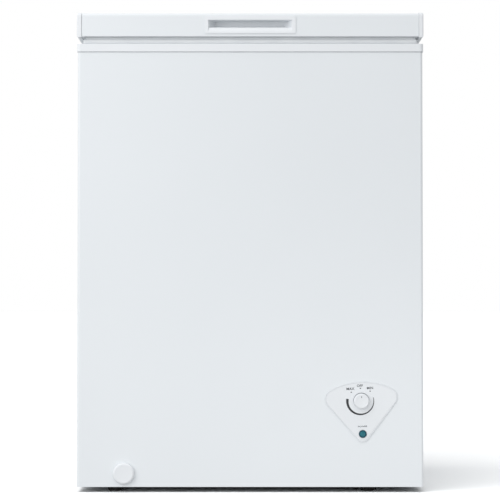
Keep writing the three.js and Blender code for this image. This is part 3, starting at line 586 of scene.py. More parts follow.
# What is set here is painted shade: a thin grey film on the plate round the knob, centred a little
# above the knob's axis so it shows wider above, standing for the shadow at the knob's edge.
shade_ring_inner = knob_radius - 1.5 * MM
shade_ring_outer = knob_radius + 0.5 * MM
shade_ring_front = plate_front - 0.1 * MM
shade_ring_back = plate_front + 0.1 * MM
shade_ring_rise = 0.6 * MM
shade_ring_centre = knob_centre + Vector((0, 0, shade_ring_rise))
shade_ring_outline = [
    (shade_ring_inner, shade_ring_back), (shade_ring_inner, shade_ring_front),
    (shade_ring_outer, shade_ring_front), (shade_ring_outer, shade_ring_back), (shade_ring_inner, shade_ring_back),
]
shade_ring_mesh = turned("dial_painted_shade_ring", shade_ring_outline, shade_ring_centre, steps=96)
settle(add_object("dial_painted_shade_ring", shade_ring_mesh), "cabinet", grey_ink_and_painted_shade)
print("the painted shade ring stands", round(1000 * (shade_ring_outer - knob_radius), 1), "mm proud of the knob")

# %% Set the mark on the dial
mark_height = 4.4 * MM
mark_width = 1.1 * MM
mark_z = knob_centre.z + 8.0 * MM


def mark_outline(depth, steps=24):
    """A short upright bar with round ends."""
    points = []
    for step in range(steps):
        angle = 2 * math.pi * step / steps
        lift = (mark_height - mark_width) / 2 * (1 if math.sin(angle) > 0 else -1)
        x = knob_centre.x + mark_width / 2 * math.cos(angle)
        points.append((x, depth, mark_z + lift + mark_width / 2 * math.sin(angle)))
    return points


mark_mesh = slab(
    "dial_mark", mark_outline(dish_floor - 0.12 * MM), mark_outline(dish_floor + 0.3 * MM),
)
settle(add_object("dial_mark", mark_mesh), "knob", grey_ink_and_painted_shade)
print("the mark is", round(1000 * mark_height, 1), "mm tall")

# %% [markdown]
# ## The drain cap
# A shallow white cap that hides the drain's outlet. Its face is almost flat and its rim is well
# rounded, so it catches a soft highlight above and a shadow below. Behind it a spigot plugs the
# outlet.

# %% Turn the drain cap
cap_low, cap_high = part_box("drain_cap")
cap_centre = Vector(((cap_low.x + cap_high.x) / 2, 0, (cap_low.z + cap_high.z) / 2))
cap_radius = (cap_high.x - cap_low.x) / 2
cap_front = cap_low.y
cap_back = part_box("outer_wrap")[0].y - 0.3 * MM
face_floor = cap_front + 0.35 * MM
hollow_radius = 16.4 * MM
hollow_floor = cap_back - 4.0 * MM
spigot_end = cap_high.y
spigot_radius = 5.9 * MM
spigot_tip = 5.2 * MM
rim = 4.2 * MM
cap_outline = [
    (0.0, spigot_end),
    (spigot_tip, spigot_end),
    (spigot_radius, spigot_end - 1.0 * MM),
    (spigot_radius, hollow_floor),
    (hollow_radius, hollow_floor),
    (hollow_radius, cap_back),
    (cap_radius - 0.3 * MM, cap_back),
    (cap_radius, cap_back - 0.3 * MM),
]
cap_outline += arc_outline(cap_radius - rim, cap_front + rim, rim, 0, -90, count=10)
cap_outline += [
    (cap_radius - rim - 1.2 * MM, cap_front + 0.05 * MM),
    (cap_radius - rim - 2.0 * MM, face_floor),
    (0.0, face_floor),
]
cap_mesh = turned("drain_cap_turned", cap_outline, cap_centre, steps=96)
settle(
    add_object("drain_cap_turned", cap_mesh),
    "outer_drain_cap", white_plastic, ["drain_cap"],
)
print("the drain cap is", round(2000 * cap_radius, 1), "mm across")

# %% [markdown]
# ## The pilot lamp
# A dark ring holds a small domed lens. The plate it sits in is fitted a little askew, so the
# lamp's centre comes from the frame's box rather than from the dial's.

# %% Turn the pilot ring
lens_low, lens_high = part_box("indicator_lens")
lens_centre = (lens_low + lens_high) / 2
ring_radius = (lens_high.x - lens_low.x) / 2 + 0.35 * MM
ring_front = plate_front - 1.3 * MM
barrel_radius = 4.9 * MM
bore_radius = 4.0 * MM
ring_outline = [
    (barrel_radius, lens_high.y),
    (barrel_radius, plate_front),
    (ring_radius, plate_front),
    (ring_radius, plate_front - 0.6 * MM),
    (ring_radius - 0.6 * MM, ring_front),
    (ring_radius - 1.5 * MM, ring_front),
    (ring_radius - 2.0 * MM, plate_front - 0.5 * MM),
    (bore_radius, plate_front - 0.2 * MM),
    (bore_radius, lens_high.y),
    (barrel_radius, lens_high.y),
]
settle(
    add_object("pilot_ring", turned("pilot_ring", ring_outline, lens_centre)),
    "cabinet", teal_ring, ["indicator_lens"],
)
print("the pilot ring is", round(2000 * ring_radius, 1), "mm across")

# %% Turn the pilot lens
dome_radius = ring_radius - 2.0 * MM
dome_back = plate_front + 0.5 * MM
dome_edge = plate_front - 0.55 * MM
dome_rise = 1.2 * MM
dome_outline = [(0.0, dome_back), (dome_radius, dome_back), (dome_radius, dome_edge)]
for degrees in range(15, 91, 15):
    angle = math.radians(degrees)
    dome_outline.append((dome_radius * math.cos(angle), dome_edge - dome_rise * math.sin(angle)))
settle(
    add_object("pilot_lens", turned("pilot_lens", dome_outline, lens_centre)),
    "cabinet", teal_lens,
)
print("the lens is", round(2000 * dome_radius, 1), "mm across")

# %% [markdown]
# ## The printed scale
# The scale is printed on the control plate round the dial: a black crescent that grows from the
# low end to the high end, a dot for each of three settings, and a word for each. The print is a
# thin raised film in the real plane of the plate, turned with it. Text is made into a mesh before
# it is put in place.

# %% Helpers that print on the plate
tilt = math.radians(2.3)
print_front = plate_front - 0.06 * MM
print_back = plate_front + 0.1 * MM
dial_axis = Vector((knob_centre.x, 0, knob_centre.z))


def on_plate(across, up, depth):
    """A point measured across and up from the dial's axis, turned with the plate."""
    return Vector((
        dial_axis.x + across * math.cos(tilt) - up * math.sin(tilt), depth,
        dial_axis.z + across * math.sin(tilt) + up * math.cos(tilt),
    ))


def printed_shape(name, outline, material):
    front = [on_plate(across, up, print_front) for across, up in outline]
    back = [on_plate(across, up, print_back) for across, up in outline]
    settle(add_object(name, slab(name, front, back)), "cabinet", material)


# %% Print the crescent
scale_radius = 23.45 * MM
scale_shift = -1.5 * MM
thick_end = 4.5 * MM
thin_end = 0.9 * MM
scale_start = 168
scale_stop = 374
scale_steps = 60
outer_edge, inner_edge = [], []
for step in range(scale_steps + 1):
    share = step / scale_steps
    angle = math.radians(scale_start + share * (scale_stop - scale_start))
    half_ink = (thick_end + (thin_end - thick_end) * share) / 2
    for edge, reach in ((outer_edge, scale_radius + half_ink), (inner_edge, scale_radius - half_ink)):
        edge.append((scale_shift + reach * math.cos(angle), reach * math.sin(angle)))
printed_shape("scale_crescent", outer_edge + inner_edge[::-1], black_ink)
print("the crescent spans", scale_stop - scale_start, "degrees")

# %% Print a dot for each setting
dots = {"max": (-17.4, 16.4), "off": (-0.9, 22.7), "min": (16.2, 17.0)}
dot_radius = 1.05
dot_angles = [2 * math.pi * step / 20 for step in range(20)]
for word, (across, up) in dots.items():
    ring = [
        ((across + dot_radius * math.cos(a)) * MM, (up + dot_radius * math.sin(a)) * MM)
        for a in dot_angles
    ]
    printed_shape("scale_dot_" + word, ring, black_ink)
print("the scale has", len(dots), "settings")

# %% Print the words
capital_share = 0.69


def printed_word(name, word, height, across, up, material, width, weight):
    curve = bpy.data.curves.new(name, "FONT")
    curve.body = word
    curve.align_x = "CENTER"
    curve.align_y = "CENTER"
    curve.size = height / capital_share
    curve.extrude = 0.03 * MM
    curve.offset = weight
    text = add_object(name + "_text", curve)
    graph = bpy.context.evaluated_depsgraph_get()
    mesh = bpy.data.meshes.new_from_object(text.evaluated_get(graph))
    bpy.data.objects.remove(text)
    for vertex in mesh.vertices:
        x, y, z = vertex.co
        vertex.co = on_plate(across + x * width, up + y, print_front - z)
    settle(add_object(name, mesh), "cabinet", material)
    print("printed", word)


small_word = 4.1 * MM
lamp_word = 2.3 * MM
bold = 0.1 * MM
printed_word("word_max", "MAX", small_word, -18.7 * MM, 22.3 * MM, dark_ink, 1.12, bold)
printed_word("word_off", "OFF", small_word, -1.6 * MM, 27.1 * MM, dark_ink, 1.05, bold)
printed_word("word_min", "MIN", small_word, 16.2 * MM, 22.4 * MM, dark_ink, 1.08, bold)
printed_word("word_power", "POWER", lamp_word, 0.2 * MM, -45.0 * MM, grey_ink_and_painted_shade, 1.45, 0.07 * MM)

# %% [markdown]
# ## The control plate
# The dial sits on a thin shield-shaped moulding. Its edge is rounded, and a fine channel runs
# round it just inside the edge, which reads as a thin grey outline. The front face is inset four
# times: for the rim, down into the channel, across its floor, and back up to the face.

# %% Press a channel into the control plate
def faces_on_front(bm, depth):
    return [
        face for face in bm.faces
        if face.normal.y < -0.99 and abs(face.calc_center_median().y - depth) < 2e-5
    ]


def inset(bm, faces, across, depth):
    bmesh.ops.inset_region(
        bm, faces=faces, thickness=across, depth=depth, use_boundary=True, use_even_offset=True,
    )


def clear_of(place, centre, radius):
    return math.hypot(place.x - centre.x, place.z - centre.z) > radius + 2 * MM


def on_outer_rim(edge):
    place = middle(edge)
    clear_of_dial = clear_of(place, knob_centre, knob_radius)
    clear_of_lamp = clear_of(place, lens_centre, ring_radius)
    return place.y < plate_front + 0.1 * MM and clear_of_dial and clear_of_lamp


bm = merged_copy("control_bezel")
round_edges(bm, [(0.7 * MM, 3, on_outer_rim)])
bm.normal_update()
field = faces_on_front(bm, plate_front)
rim_band = (0.5 * MM, 0.0)
wall_down = (0.1 * MM, -0.7 * MM)
channel_floor = (0.55 * MM, 0.0)
wall_up = (0.15 * MM, 0.65 * MM)
for across, depth in (rim_band, wall_down, channel_floor, wall_up):
    inset(bm, field, across, depth)
finish_copy("control_bezel", bm)
print("the control plate is", round(1000 * (plate_high.x - plate_low.x), 1), "mm wide")

# %% [markdown]
# ## The joint under the collar
# The collar snaps over the top edge of the cabinet's sheet. In the gap between the two, the
# collar's own lip shows as a thin line in shadow. The lip is a narrow band that follows the
# cabinet's plan, set back from both faces.

# %% A helper that runs a profile round a rounded rectangle
def rounded_loop(x0, x1, y0, y1, radius, count=8):
    """Points round a rectangle with round corners, each with the way outwards."""
    left, right = x0 + radius, x1 - radius
    front, back = y0 + radius, y1 - radius
    loop = []
    for quarter, (x, y) in enumerate([(right, back), (left, back), (left, front), (right, front)]):
        for index in range(count + 1):
            angle = math.pi / 2 * (quarter + index / count)
            out_x, out_y = math.cos(angle), math.sin(angle)
            loop.append((x + radius * out_x, y + radius * out_y, out_x, out_y))
    return loop


def swept_band(name, loop, profile):
    """A closed profile of (outwards, up) points carried round a loop."""
    verts = [(x + out * nx, y + out * ny, up) for x, y, nx, ny in loop for out, up in profile]
    mesh = mesh_from(name, verts, joined_rings(len(loop), len(profile), closed=True))
    shade(mesh)
    return mesh

# %% Make the lip in the joint
wrap_low, wrap_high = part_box("outer_wrap")
joint_top = wrap_high.z + 1.9 * MM
lip_foot = wrap_high.z - 0.5 * MM
lip_thickness = 0.25 * MM
joint_loop = rounded_loop(
    wrap_low.x + 1.0 * MM, wrap_high.x - 1.0 * MM, wrap_low.y + 1.0 * MM, wrap_high.y - 0.4 * MM,
    radius=4 * MM,
)
joint_profile = [
    (0.0, lip_foot), (0.0, joint_top), (-lip_thickness, joint_top), (-lip_thickness, lip_foot),
]
settle(
    add_object("collar_joint_lip", swept_band("collar_joint_lip", joint_loop, joint_profile)),
    "cabinet", seal_rubber,
)
print("the joint is", round(1000 * (joint_top - wrap_high.z), 1), "mm tall")

# %% [markdown]
# ## The lid's seal
# The lid seals on a soft vinyl gasket: a fat hollow bulb below, which carries the magnet, and a
# narrow waist above it that runs up to the lid. It is one profile carried round the lid with
# rounded corners.

# %% Carry the gasket's profile round the lid
seal_low, seal_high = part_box("lid_gasket")
seal_loop = rounded_loop(seal_low.x, seal_high.x, seal_low.y, seal_high.y, 4 * MM, count=12)
bulb_outer = [
    (-2.6, 0.0), (-1.2, 0.5), (-0.35, 1.6), (0.0, 3.0),
    (0.0, 6.2), (-0.5, 7.2), (-1.6, 7.8), (-4.0, 8.0),
]
waist = [(-4.3, 8.4), (-4.3, 12.45), (-7.7, 12.45), (-7.7, 8.4)]
bulb_inner = [
    (-8.0, 8.0), (-10.4, 7.8), (-11.5, 7.2), (-12.0, 6.2),
    (-12.0, 3.0), (-11.65, 1.6), (-10.8, 0.5), (-9.4, 0.0),
]
seal_profile = [(out * MM, seal_low.z + up * MM) for out, up in bulb_outer + waist + bulb_inner]
seal_mesh = swept_band("lid_seal", seal_loop, seal_profile)
settle(add_object("lid_seal", seal_mesh), "lid", seal_rubber, ["lid_gasket"])
print("the seal's profile has", len(seal_profile), "points")

# %% [markdown]
# ## The inner face of the lid
# The lid is lined with a vacuum-formed plastic tray. Its lower corners are generous because the
# hot sheet can't be pulled round a sharp one, and a shallow step across the middle stiffens it.

# %% A helper that lofts a shell through rounded rectangles
def lofted(name, stations):
    """Each station is (half width, front, rear, height, corner radius). The end ones are filled."""
    loops = [
        [(x, y, z) for x, y, _, _ in rounded_loop(-half, half, front, rear, radius)]
        for half, front, rear, z, radius in stations
    ]
    verts = [point for loop in loops for point in loop]
    count = len(loops[0])
    faces = [list(range(count)), list(range(len(verts) - 1, len(verts) - count - 1, -1))]
    faces += joined_rings(len(loops), count)
    mesh = mesh_from(name, verts, faces)
    shade(mesh)
    return mesh

# %% Form the lid's liner
liner_low, liner_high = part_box("lid_liner")
sheet_top = liner_high.z
sheet_low = liner_high.z - 2 * MM
tray_low = liner_low.z
tray_half = liner_high.x - 60.7 * MM
tray_front = liner_low.y + 67.9 * MM
tray_rear = liner_high.y - 63.9 * MM


def tray_ring(inset_by, z, radius=18):
    by = inset_by * MM
    return (tray_half - by, tray_front + by, tray_rear - by, z, max(radius - inset_by, 2) * MM)


def flange_ring(z):
    return (liner_high.x, liner_low.y, liner_high.y, z, 1 * MM)


upper_side = [
    tray_ring(42, tray_low + 3.4 * MM), tray_ring(34, tray_low + 2.0 * MM),
    tray_ring(5.0, tray_low + 2.0 * MM), tray_ring(3.0, tray_low + 2.6 * MM),
    tray_ring(2.0, tray_low + 5 * MM), tray_ring(2.0, sheet_top),
]
flange = [flange_ring(sheet_top), flange_ring(sheet_low)]
wall = [
    tray_ring(-1.6, sheet_low), tray_ring(-0.5, sheet_low - 0.5 * MM),
    tray_ring(0, sheet_low - 1.6 * MM),
]
corner = 3.6
rolled_corner = []
for index in range(6):
    angle = math.radians(90 * index / 5)
    height = tray_low + corner * MM * (1 - math.sin(angle))
    rolled_corner.append(tray_ring(corner * (1 - math.cos(angle)), height))
middle_step = [
    tray_ring(33.5, tray_low), tray_ring(35, tray_low + 0.3 * MM),
    tray_ring(38, tray_low + 1.1 * MM), tray_ring(39.5, tray_low + 1.4 * MM),
]
tray_mesh = lofted("lid_tray", upper_side + flange + wall + rolled_corner + middle_step)
settle(add_object("lid_tray", tray_mesh), "lid", white_plastic, ["lid_liner"])
print("formed the lid's liner,", round(1000 * (sheet_low - tray_low), 1), "mm deep")

# %% [markdown]
# ## The balance springs
# Each hinge holds a coil spring that pushes its plunger up against the cam on the lid's arm. The
# coils at both ends are wound flat so that the spring stands square.

# %% A helper that winds a spring
wire = 1.4 * MM
coil_radius = 7.0 * MM
turns = 8
steps_per_turn = 28
wire_sides = 10
end_room = 2.0 * wire
flat_pitch = 0.9 * wire


def spring_path(axis, foot, head):
    """Points along the wire. Its first and last turns are wound flat."""
    points = []
    for index in range(turns * steps_per_turn + 1):
        turned_by = index / steps_per_turn
        rise = min(max((turned_by - 1) / (turns - 2), 0.0), 1.0)
        flat = flat_pitch * (min(turned_by, 1.0) - 1.0) + flat_pitch * max(turned_by - turns + 1, 0.0)
        z = foot + end_room + (head - foot - 2 * end_room) * rise + flat
        angle = 2 * math.pi * turned_by
        x = axis[0] + coil_radius * math.cos(angle)
        points.append(Vector((x, axis[1] + coil_radius * math.sin(angle), z)))
    return points


def wound_spring(name, axis, foot, head):
    points = spring_path(axis, foot, head)
    last = len(points) - 1
    verts = []
    for index, point in enumerate(points):
        ahead = points[min(index + 1, last)] - points[max(index - 1, 0)]
        ahead.normalize()
        outward = Vector((point.x - axis[0], point.y - axis[1], 0)).normalized()
        across = ahead.cross(outward).normalized()
        for side in range(wire_sides):
            angle = 2 * math.pi * side / wire_sides
            verts.append(point + wire * (math.cos(angle) * outward + math.sin(angle) * across))
    faces = joined_rings(len(points), wire_sides)
    faces.append(list(range(wire_sides)))
    faces.append([last * wire_sides + side for side in range(wire_sides)][::-1])
    mesh = mesh_from(name, verts, faces)
    shade(mesh)
    return mesh


# %% Wind the hinge springs
for side in ("left", "right"):
    low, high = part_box("hinge_spring_" + side)
    axis = ((low.x + high.x) / 2, (low.y + high.y) / 2)
    mesh = wound_spring("balance_spring_" + side, axis, low.z, high.z)
    mesh.materials.append(zinc_plate)
    spring = add_object("balance_spring_" + side, mesh)
    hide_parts("hinge_spring_" + side)
    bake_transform(spring)
print("wound two springs of", turns, "turns")

# %% [markdown]
# ## Wires along paths
# The basket is bent from steel wire and dipped in white plastic. A wire is a path with a round
# section, so a small Geometry Nodes tree does the work: it turns edges into curves, rounds their
# bends and sweeps a circle along them. The paths are drawn as plain edges, and the tree has
# inputs for the wire's size and its bends.

# %% Helpers that build and run a tree
def tree_with_inputs(name, inputs):
    tree = bpy.data.node_groups.new(name, "GeometryNodeTree")
    tree.interface.new_socket("Geometry", in_out="INPUT", socket_type="NodeSocketGeometry")
    for title, kind, value in inputs:
        socket = tree.interface.new_socket(title, in_out="INPUT", socket_type=kind)
        socket.default_value = value
    tree.interface.new_socket("Geometry", in_out="OUTPUT", socket_type="NodeSocketGeometry")
    return tree, tree.nodes.new("NodeGroupInput"), tree.nodes.new("NodeGroupOutput")


def set_input(modifier, title, value):
    for item in modifier.node_group.interface.items_tree:
        if item.item_type == "SOCKET" and item.in_out == "INPUT" and item.name == title:
            modifier[item.identifier] = value
            return
    raise ValueError(title)


def end_tree(tree, geometry, output, material):
    realize = tree.nodes.new("GeometryNodeRealizeInstances")
    paint = tree.nodes.new("GeometryNodeSetMaterial")
    paint.inputs["Material"].default_value = material
    tree.links.new(geometry, realize.inputs["Geometry"])
    tree.links.new(realize.outputs["Geometry"], paint.inputs["Geometry"])
    tree.links.new(paint.outputs["Geometry"], output.inputs["Geometry"])


def bake(name, mesh, tree, values):
    """Runs the tree on a mesh and returns the plain mesh that comes out."""
    source = add_object(name + "_source", mesh)
    modifier = source.modifiers.new("shape", "NODES")
    modifier.node_group = tree
    for title, value in values.items():
        set_input(modifier, title, value)
    graph = bpy.context.evaluated_depsgraph_get()
    result = bpy.data.meshes.new_from_object(source.evaluated_get(graph))
    bpy.data.objects.remove(source)
    result.name = name
    bm = bmesh.new()
    bm.from_mesh(result)
    bmesh.ops.remove_doubles(bm, verts=bm.verts, dist=1e-7)
    bmesh.ops.recalc_face_normals(bm, faces=bm.faces)
    bm.to_mesh(result)
    bm.free()
    return result


# %% Build the wire tree
wire_tree, wire_in, wire_out = tree_with_inputs("bent_wires", [
    ("Wire Radius", "NodeSocketFloat", 0.0014), ("Bend Radius", "NodeSocketFloat", 0.008),
])
to_curve = wire_tree.nodes.new("GeometryNodeMeshToCurve")
bend = wire_tree.nodes.new("GeometryNodeFilletCurve")
bend.mode = "POLY"
bend.inputs["Count"].default_value = 5
section = wire_tree.nodes.new("GeometryNodeCurvePrimitiveCircle")
section.inputs["Resolution"].default_value = 10
sweep = wire_tree.nodes.new("GeometryNodeCurveToMesh")
sweep.inputs["Fill Caps"].default_value = True
wire_tree.links.new(wire_in.outputs["Geometry"], to_curve.inputs["Mesh"])
wire_tree.links.new(to_curve.outputs["Curve"], bend.inputs["Curve"])
wire_tree.links.new(wire_in.outputs["Bend Radius"], bend.inputs["Radius"])
wire_tree.links.new(wire_in.outputs["Wire Radius"], section.inputs["Radius"])
wire_tree.links.new(bend.outputs["Curve"], sweep.inputs["Curve"])
wire_tree.links.new(section.outputs["Curve"], sweep.inputs["Profile Curve"])
end_tree(wire_tree, sweep.outputs["Mesh"], wire_out, coated_wire)
print("the wire tree has", len(wire_tree.nodes), "nodes")

# %% [markdown]
# ## The basket
# Thin wires run down one side, across the floor and up the other, in both directions. Hoops tie
# them together, and a thick rim with a bail at each end hangs on the ledges of the collar. The
# basket slides along them.

# %% Helpers that draw wire paths
def paths_mesh(paths, closed):
    verts, edges = [], []
    for path in paths:
        first = len(verts)
        verts.extend(path)
        edges += [(first + i, first + i + 1) for i in range(len(path) - 1)]
        if closed:
            edges.append((first + len(path) - 1, first))
    mesh = bpy.data.meshes.new("paths")
    mesh.from_pydata([tuple(v) for v in verts], edges, [])
    return mesh


def rectangle_path(x0, x1, y0, y1, z):
    return [(x0, y0, z), (x1, y0, z), (x1, y1, z), (x0, y1, z)]


def bent(name, paths, closed, radius, bend_radius):
    sizes = {"Wire Radius": radius, "Bend Radius": bend_radius}
    return bake(name, paths_mesh(paths, closed), wire_tree, sizes)


# %% Bend the basket's thin wires
basket_low, basket_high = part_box("storage_basket")
thin = 1.5 * MM
thick = 2.9 * MM
bail_reach = 15 * MM
rim_z = basket_high.z - 3.0 * MM
x0, x1 = basket_low.x + thick, basket_high.x - thick
y0, y1 = basket_low.y + bail_reach + thick, basket_high.y - bail_reach - thick
floor_z = basket_low.z + 3 * thin
taper = 4 * MM
from_corner = 20 * MM
across_wires = 17
along_wires = 9
paths = []
for index in range(across_wires):
    y = y0 + from_corner + (y1 - y0 - 2 * from_corner) * index / (across_wires - 1)
    paths.append([(x0, y, rim_z), (x0 + taper, y, floor_z), (x1 - taper, y, floor_z), (x1, y, rim_z)])
for index in range(along_wires):
    x = x0 + from_corner + (x1 - x0 - 2 * from_corner) * index / (along_wires - 1)
    z = floor_z - 2 * thin
    paths.append([(x, y0, rim_z), (x, y0 + taper, z), (x, y1 - taper, z), (x, y1, rim_z)])
upright_mesh = bent("basket_uprights", paths, False, thin, 9 * MM)
print("bent", len(paths), "thin wires")

# %% Bend the hoops, the rim and the bails
hoops = []
for height in (0.16, 0.5, 0.82):
    z = floor_z + (rim_z - floor_z) * height
    slack = taper * (1 - height) - 2 * thin
    hoops.append(rectangle_path(x0 + slack, x1 - slack, y0 + slack, y1 - slack, z))
hoop_mesh = bent("basket_hoops", hoops, True, thin, 14 * MM)
rim_paths = [rectangle_path(x0, x1, y0, y1, rim_z)]
bail_in = 17 * MM
for inner, outer in ((y0, basket_low.y + thick), (y1, basket_high.y - thick)):
    rim_paths.append(rectangle_path(x0 + bail_in, x1 - bail_in, outer, inner, rim_z))
rim_mesh = bent("basket_rim", rim_paths, True, thick, 6 * MM)
print("bent", len(hoops), "hoops and", len(rim_paths), "thick wires")

# %% Assemble the basket
basket_bm = bmesh.new()
for part in (upright_mesh, hoop_mesh, rim_mesh):
    basket_bm.from_mesh(part)
basket_mesh = bpy.data.meshes.new("wire_basket")
basket_bm.to_mesh(basket_mesh)
basket_bm.free()
shade(basket_mesh, 50)
settle(
    add_object("wire_basket", basket_mesh),
    "basket", coated_wire, ["storage_basket"],
)
print("the basket has", len(basket_mesh.polygons), "faces")

# %% [markdown]
# ## Screws
# Round-headed cross screws hold the rear cover and the lid's hinge arms. One Geometry Nodes tree
# turns a ball into a domed head, cuts its cross and sets a copy on every point it is given, so
# all the screws are alike.

# %% Build the screw tree
screw_tree, screw_in, screw_out = tree_with_inputs("cross_screws", [
    ("Head Radius", "NodeSocketFloat", 0.004), ("Head Height", "NodeSocketFloat", 0.002),
])
dome = screw_tree.nodes.new("GeometryNodeMeshUVSphere")
dome.inputs["Segments"].default_value = 24
dome.inputs["Rings"].default_value = 12
dome.inputs["Radius"].default_value = 1.0
flatten = screw_tree.nodes.new("GeometryNodeTransform")
combine = screw_tree.nodes.new("ShaderNodeCombineXYZ")
screw_tree.links.new(screw_in.outputs["Head Radius"], combine.inputs["X"])
screw_tree.links.new(screw_in.outputs["Head Radius"], combine.inputs["Y"])
screw_tree.links.new(screw_in.outputs["Head Height"], combine.inputs["Z"])
screw_tree.links.new(dome.outputs["Mesh"], flatten.inputs["Geometry"])
screw_tree.links.new(combine.outputs["Vector"], flatten.inputs["Scale"])
slots = screw_tree.nodes.new("GeometryNodeJoinGeometry")
cross_long = 0.0045
cross_wide = 0.0009
cross_tall = 0.002
for size in ((cross_long, cross_wide, cross_tall), (cross_wide, cross_long, cross_tall)):
    slot_box = screw_tree.nodes.new("GeometryNodeMeshCube")
    slot_box.inputs["Size"].default_value = size
    lift = screw_tree.nodes.new("GeometryNodeTransform")
    lift.inputs["Translation"].default_value = (0, 0, cross_tall)
    screw_tree.links.new(slot_box.outputs["Mesh"], lift.inputs["Geometry"])
    screw_tree.links.new(lift.outputs["Geometry"], slots.inputs["Geometry"])
carve = screw_tree.nodes.new("GeometryNodeMeshBoolean")
carve.operation = "DIFFERENCE"
screw_tree.links.new(flatten.outputs["Geometry"], carve.inputs["Mesh 1"])
screw_tree.links.new(slots.outputs["Geometry"], carve.inputs["Mesh 2"])
face_out = screw_tree.nodes.new("GeometryNodeTransform")
face_out.inputs["Rotation"].default_value = (math.radians(-90), 0, 0)
screw_tree.links.new(carve.outputs["Mesh"], face_out.inputs["Geometry"])
scatter = screw_tree.nodes.new("GeometryNodeInstanceOnPoints")
screw_tree.links.new(screw_in.outputs["Geometry"], scatter.inputs["Points"])
screw_tree.links.new(face_out.outputs["Geometry"], scatter.inputs["Instance"])
end_tree(screw_tree, scatter.outputs["Instances"], screw_out, zinc_plate)
print("the screw tree has", len(screw_tree.nodes), "nodes")

# %% Set the screws
def points_mesh(places):
    mesh = bpy.data.meshes.new("places")
    mesh.from_pydata(places, [], [])
    return mesh


def screws(name, places, body, radius=3.8 * MM, height=2.0 * MM):
    sizes = {"Head Radius": radius, "Head Height": height}
    made = bake(name, points_mesh(places), screw_tree, sizes)
    shade(made, 40)
    settle(add_object(name, made), body, zinc_plate)
    print(name, "holds", len(places))


cover_low, cover_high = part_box("compressor_cover")
cover_middle = (cover_low.x + cover_high.x) / 2
edge_in = 9 * MM
screws("cover_screws", [
    (x, cover_high.y, z)
    for x in (cover_low.x + edge_in, cover_middle, cover_high.x - edge_in)
    for z in (cover_low.z + edge_in, cover_high.z - edge_in)
], "cabinet")
arm_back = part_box("lid_skin")[1].y + 2.8 * MM
arm_edge_in = 5.2 * MM
upper_row = 7 * MM
lower_row = 26 * MM
arm_screws = []
for side in ("left", "right"):
    arm_low, arm_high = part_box("hinge_arm_" + side)
    for x in (arm_low.x + arm_edge_in, arm_high.x - arm_edge_in):
        for z in (arm_high.z - upper_row, arm_high.z - lower_row):
            arm_screws.append((x, arm_back, z))
screws("hinge_arm_screws", arm_screws, "lid", radius=3.2 * MM, height=1.7 * MM)

# %% [markdown]
# ## Louvres on the rear cover
# The compressor breathes through a grille low on the back. Each slot has a pressed hood above it
# that keeps drips out. A line of points carries one hood per slot. The hood is a round section
# swept along a short line and sunk halfway into the sheet, so half of it shows.

# %% Build the louvre tree
louvre_tree, louvre_in, louvre_out = tree_with_inputs("louvre_hoods", [
    ("Hood Radius", "NodeSocketFloat", 0.004), ("Hood Length", "NodeSocketFloat", 0.13),
])
ends = []
for share in (-0.5, 0.5):
    half = louvre_tree.nodes.new("ShaderNodeMath")
    half.operation = "MULTIPLY"
    half.inputs[1].default_value = share
    louvre_tree.links.new(louvre_in.outputs["Hood Length"], half.inputs[0])
    point = louvre_tree.nodes.new("ShaderNodeCombineXYZ")
    louvre_tree.links.new(half.outputs[0], point.inputs["X"])
    ends.append(point)
ridge = louvre_tree.nodes.new("GeometryNodeCurvePrimitiveLine")
louvre_tree.links.new(ends[0].outputs["Vector"], ridge.inputs["Start"])
louvre_tree.links.new(ends[1].outputs["Vector"], ridge.inputs["End"])
hood_section = louvre_tree.nodes.new("GeometryNodeCurvePrimitiveCircle")
hood_section.inputs["Resolution"].default_value = 20
louvre_tree.links.new(louvre_in.outputs["Hood Radius"], hood_section.inputs["Radius"])
hood = louvre_tree.nodes.new("GeometryNodeCurveToMesh")
hood.inputs["Fill Caps"].default_value = True
louvre_tree.links.new(ridge.outputs["Curve"], hood.inputs["Curve"])
louvre_tree.links.new(hood_section.outputs["Curve"], hood.inputs["Profile Curve"])
row = louvre_tree.nodes.new("GeometryNodeInstanceOnPoints")
louvre_tree.links.new(louvre_in.outputs["Geometry"], row.inputs["Points"])
louvre_tree.links.new(hood.outputs["Mesh"], row.inputs["Instance"])
end_tree(louvre_tree, row.outputs["Instances"], louvre_out, white_enamel)
print("the louvre tree has", len(louvre_tree.nodes), "nodes")

# %% Press the hoods
slot_count = 9
slot_first = cover_low.z + 22 * MM
slot_last = cover_high.z - 28 * MM
above_slot = 6 * MM
hood_lift = 1.2 * MM
hood_sink = 0.2 * MM
hood_sizes = {"Hood Radius": 2.6 * MM, "Hood Length": cover_high.x - cover_low.x - 36 * MM}
hood_places = []
for index in range(slot_count):
    z = slot_first + (slot_last - slot_first) * index / (slot_count - 1) + above_slot
    hood_places.append((cover_middle, cover_high.y - hood_sink, z + hood_lift))
hood_mesh = bake("cover_louvres", points_mesh(hood_places), louvre_tree, hood_sizes)
shade(hood_mesh, 40)
settle(add_object("cover_louvres", hood_mesh), "cabinet", white_enamel)
print("pressed", slot_count, "hoods")

# %% [markdown]
# ## The studio floor
# The freezer stands on a plain white floor that runs on far past the view. The floor is left out
# of the light that bounces between surfaces, so the shade on the freezer comes from the lamps
# and the surround, and is easy to control.

# %% Lay the floor
floor_half = 40.0
floor_corners = [(-floor_half, -floor_half, 0), (floor_half, -floor_half, 0),
                 (floor_half, floor_half, 0), (-floor_half, floor_half, 0)]
floor_mesh = mesh_from("studio_floor", floor_corners, [(0, 1, 2, 3)])
studio_floor = add_object("studio_floor", floor_mesh)
floor_mesh.materials.append(mottled(
    "studio_floor", srgb(246, 247, 248), srgb(249, 250, 250), patch=2.0,
    rough=(0.85, 0.95), grain=60.0, depth=0.0001, Specular_IOR_Level=0.1,
))
studio_floor.visible_diffuse = False
print("the floor is", 2 * floor_half, "m wide")

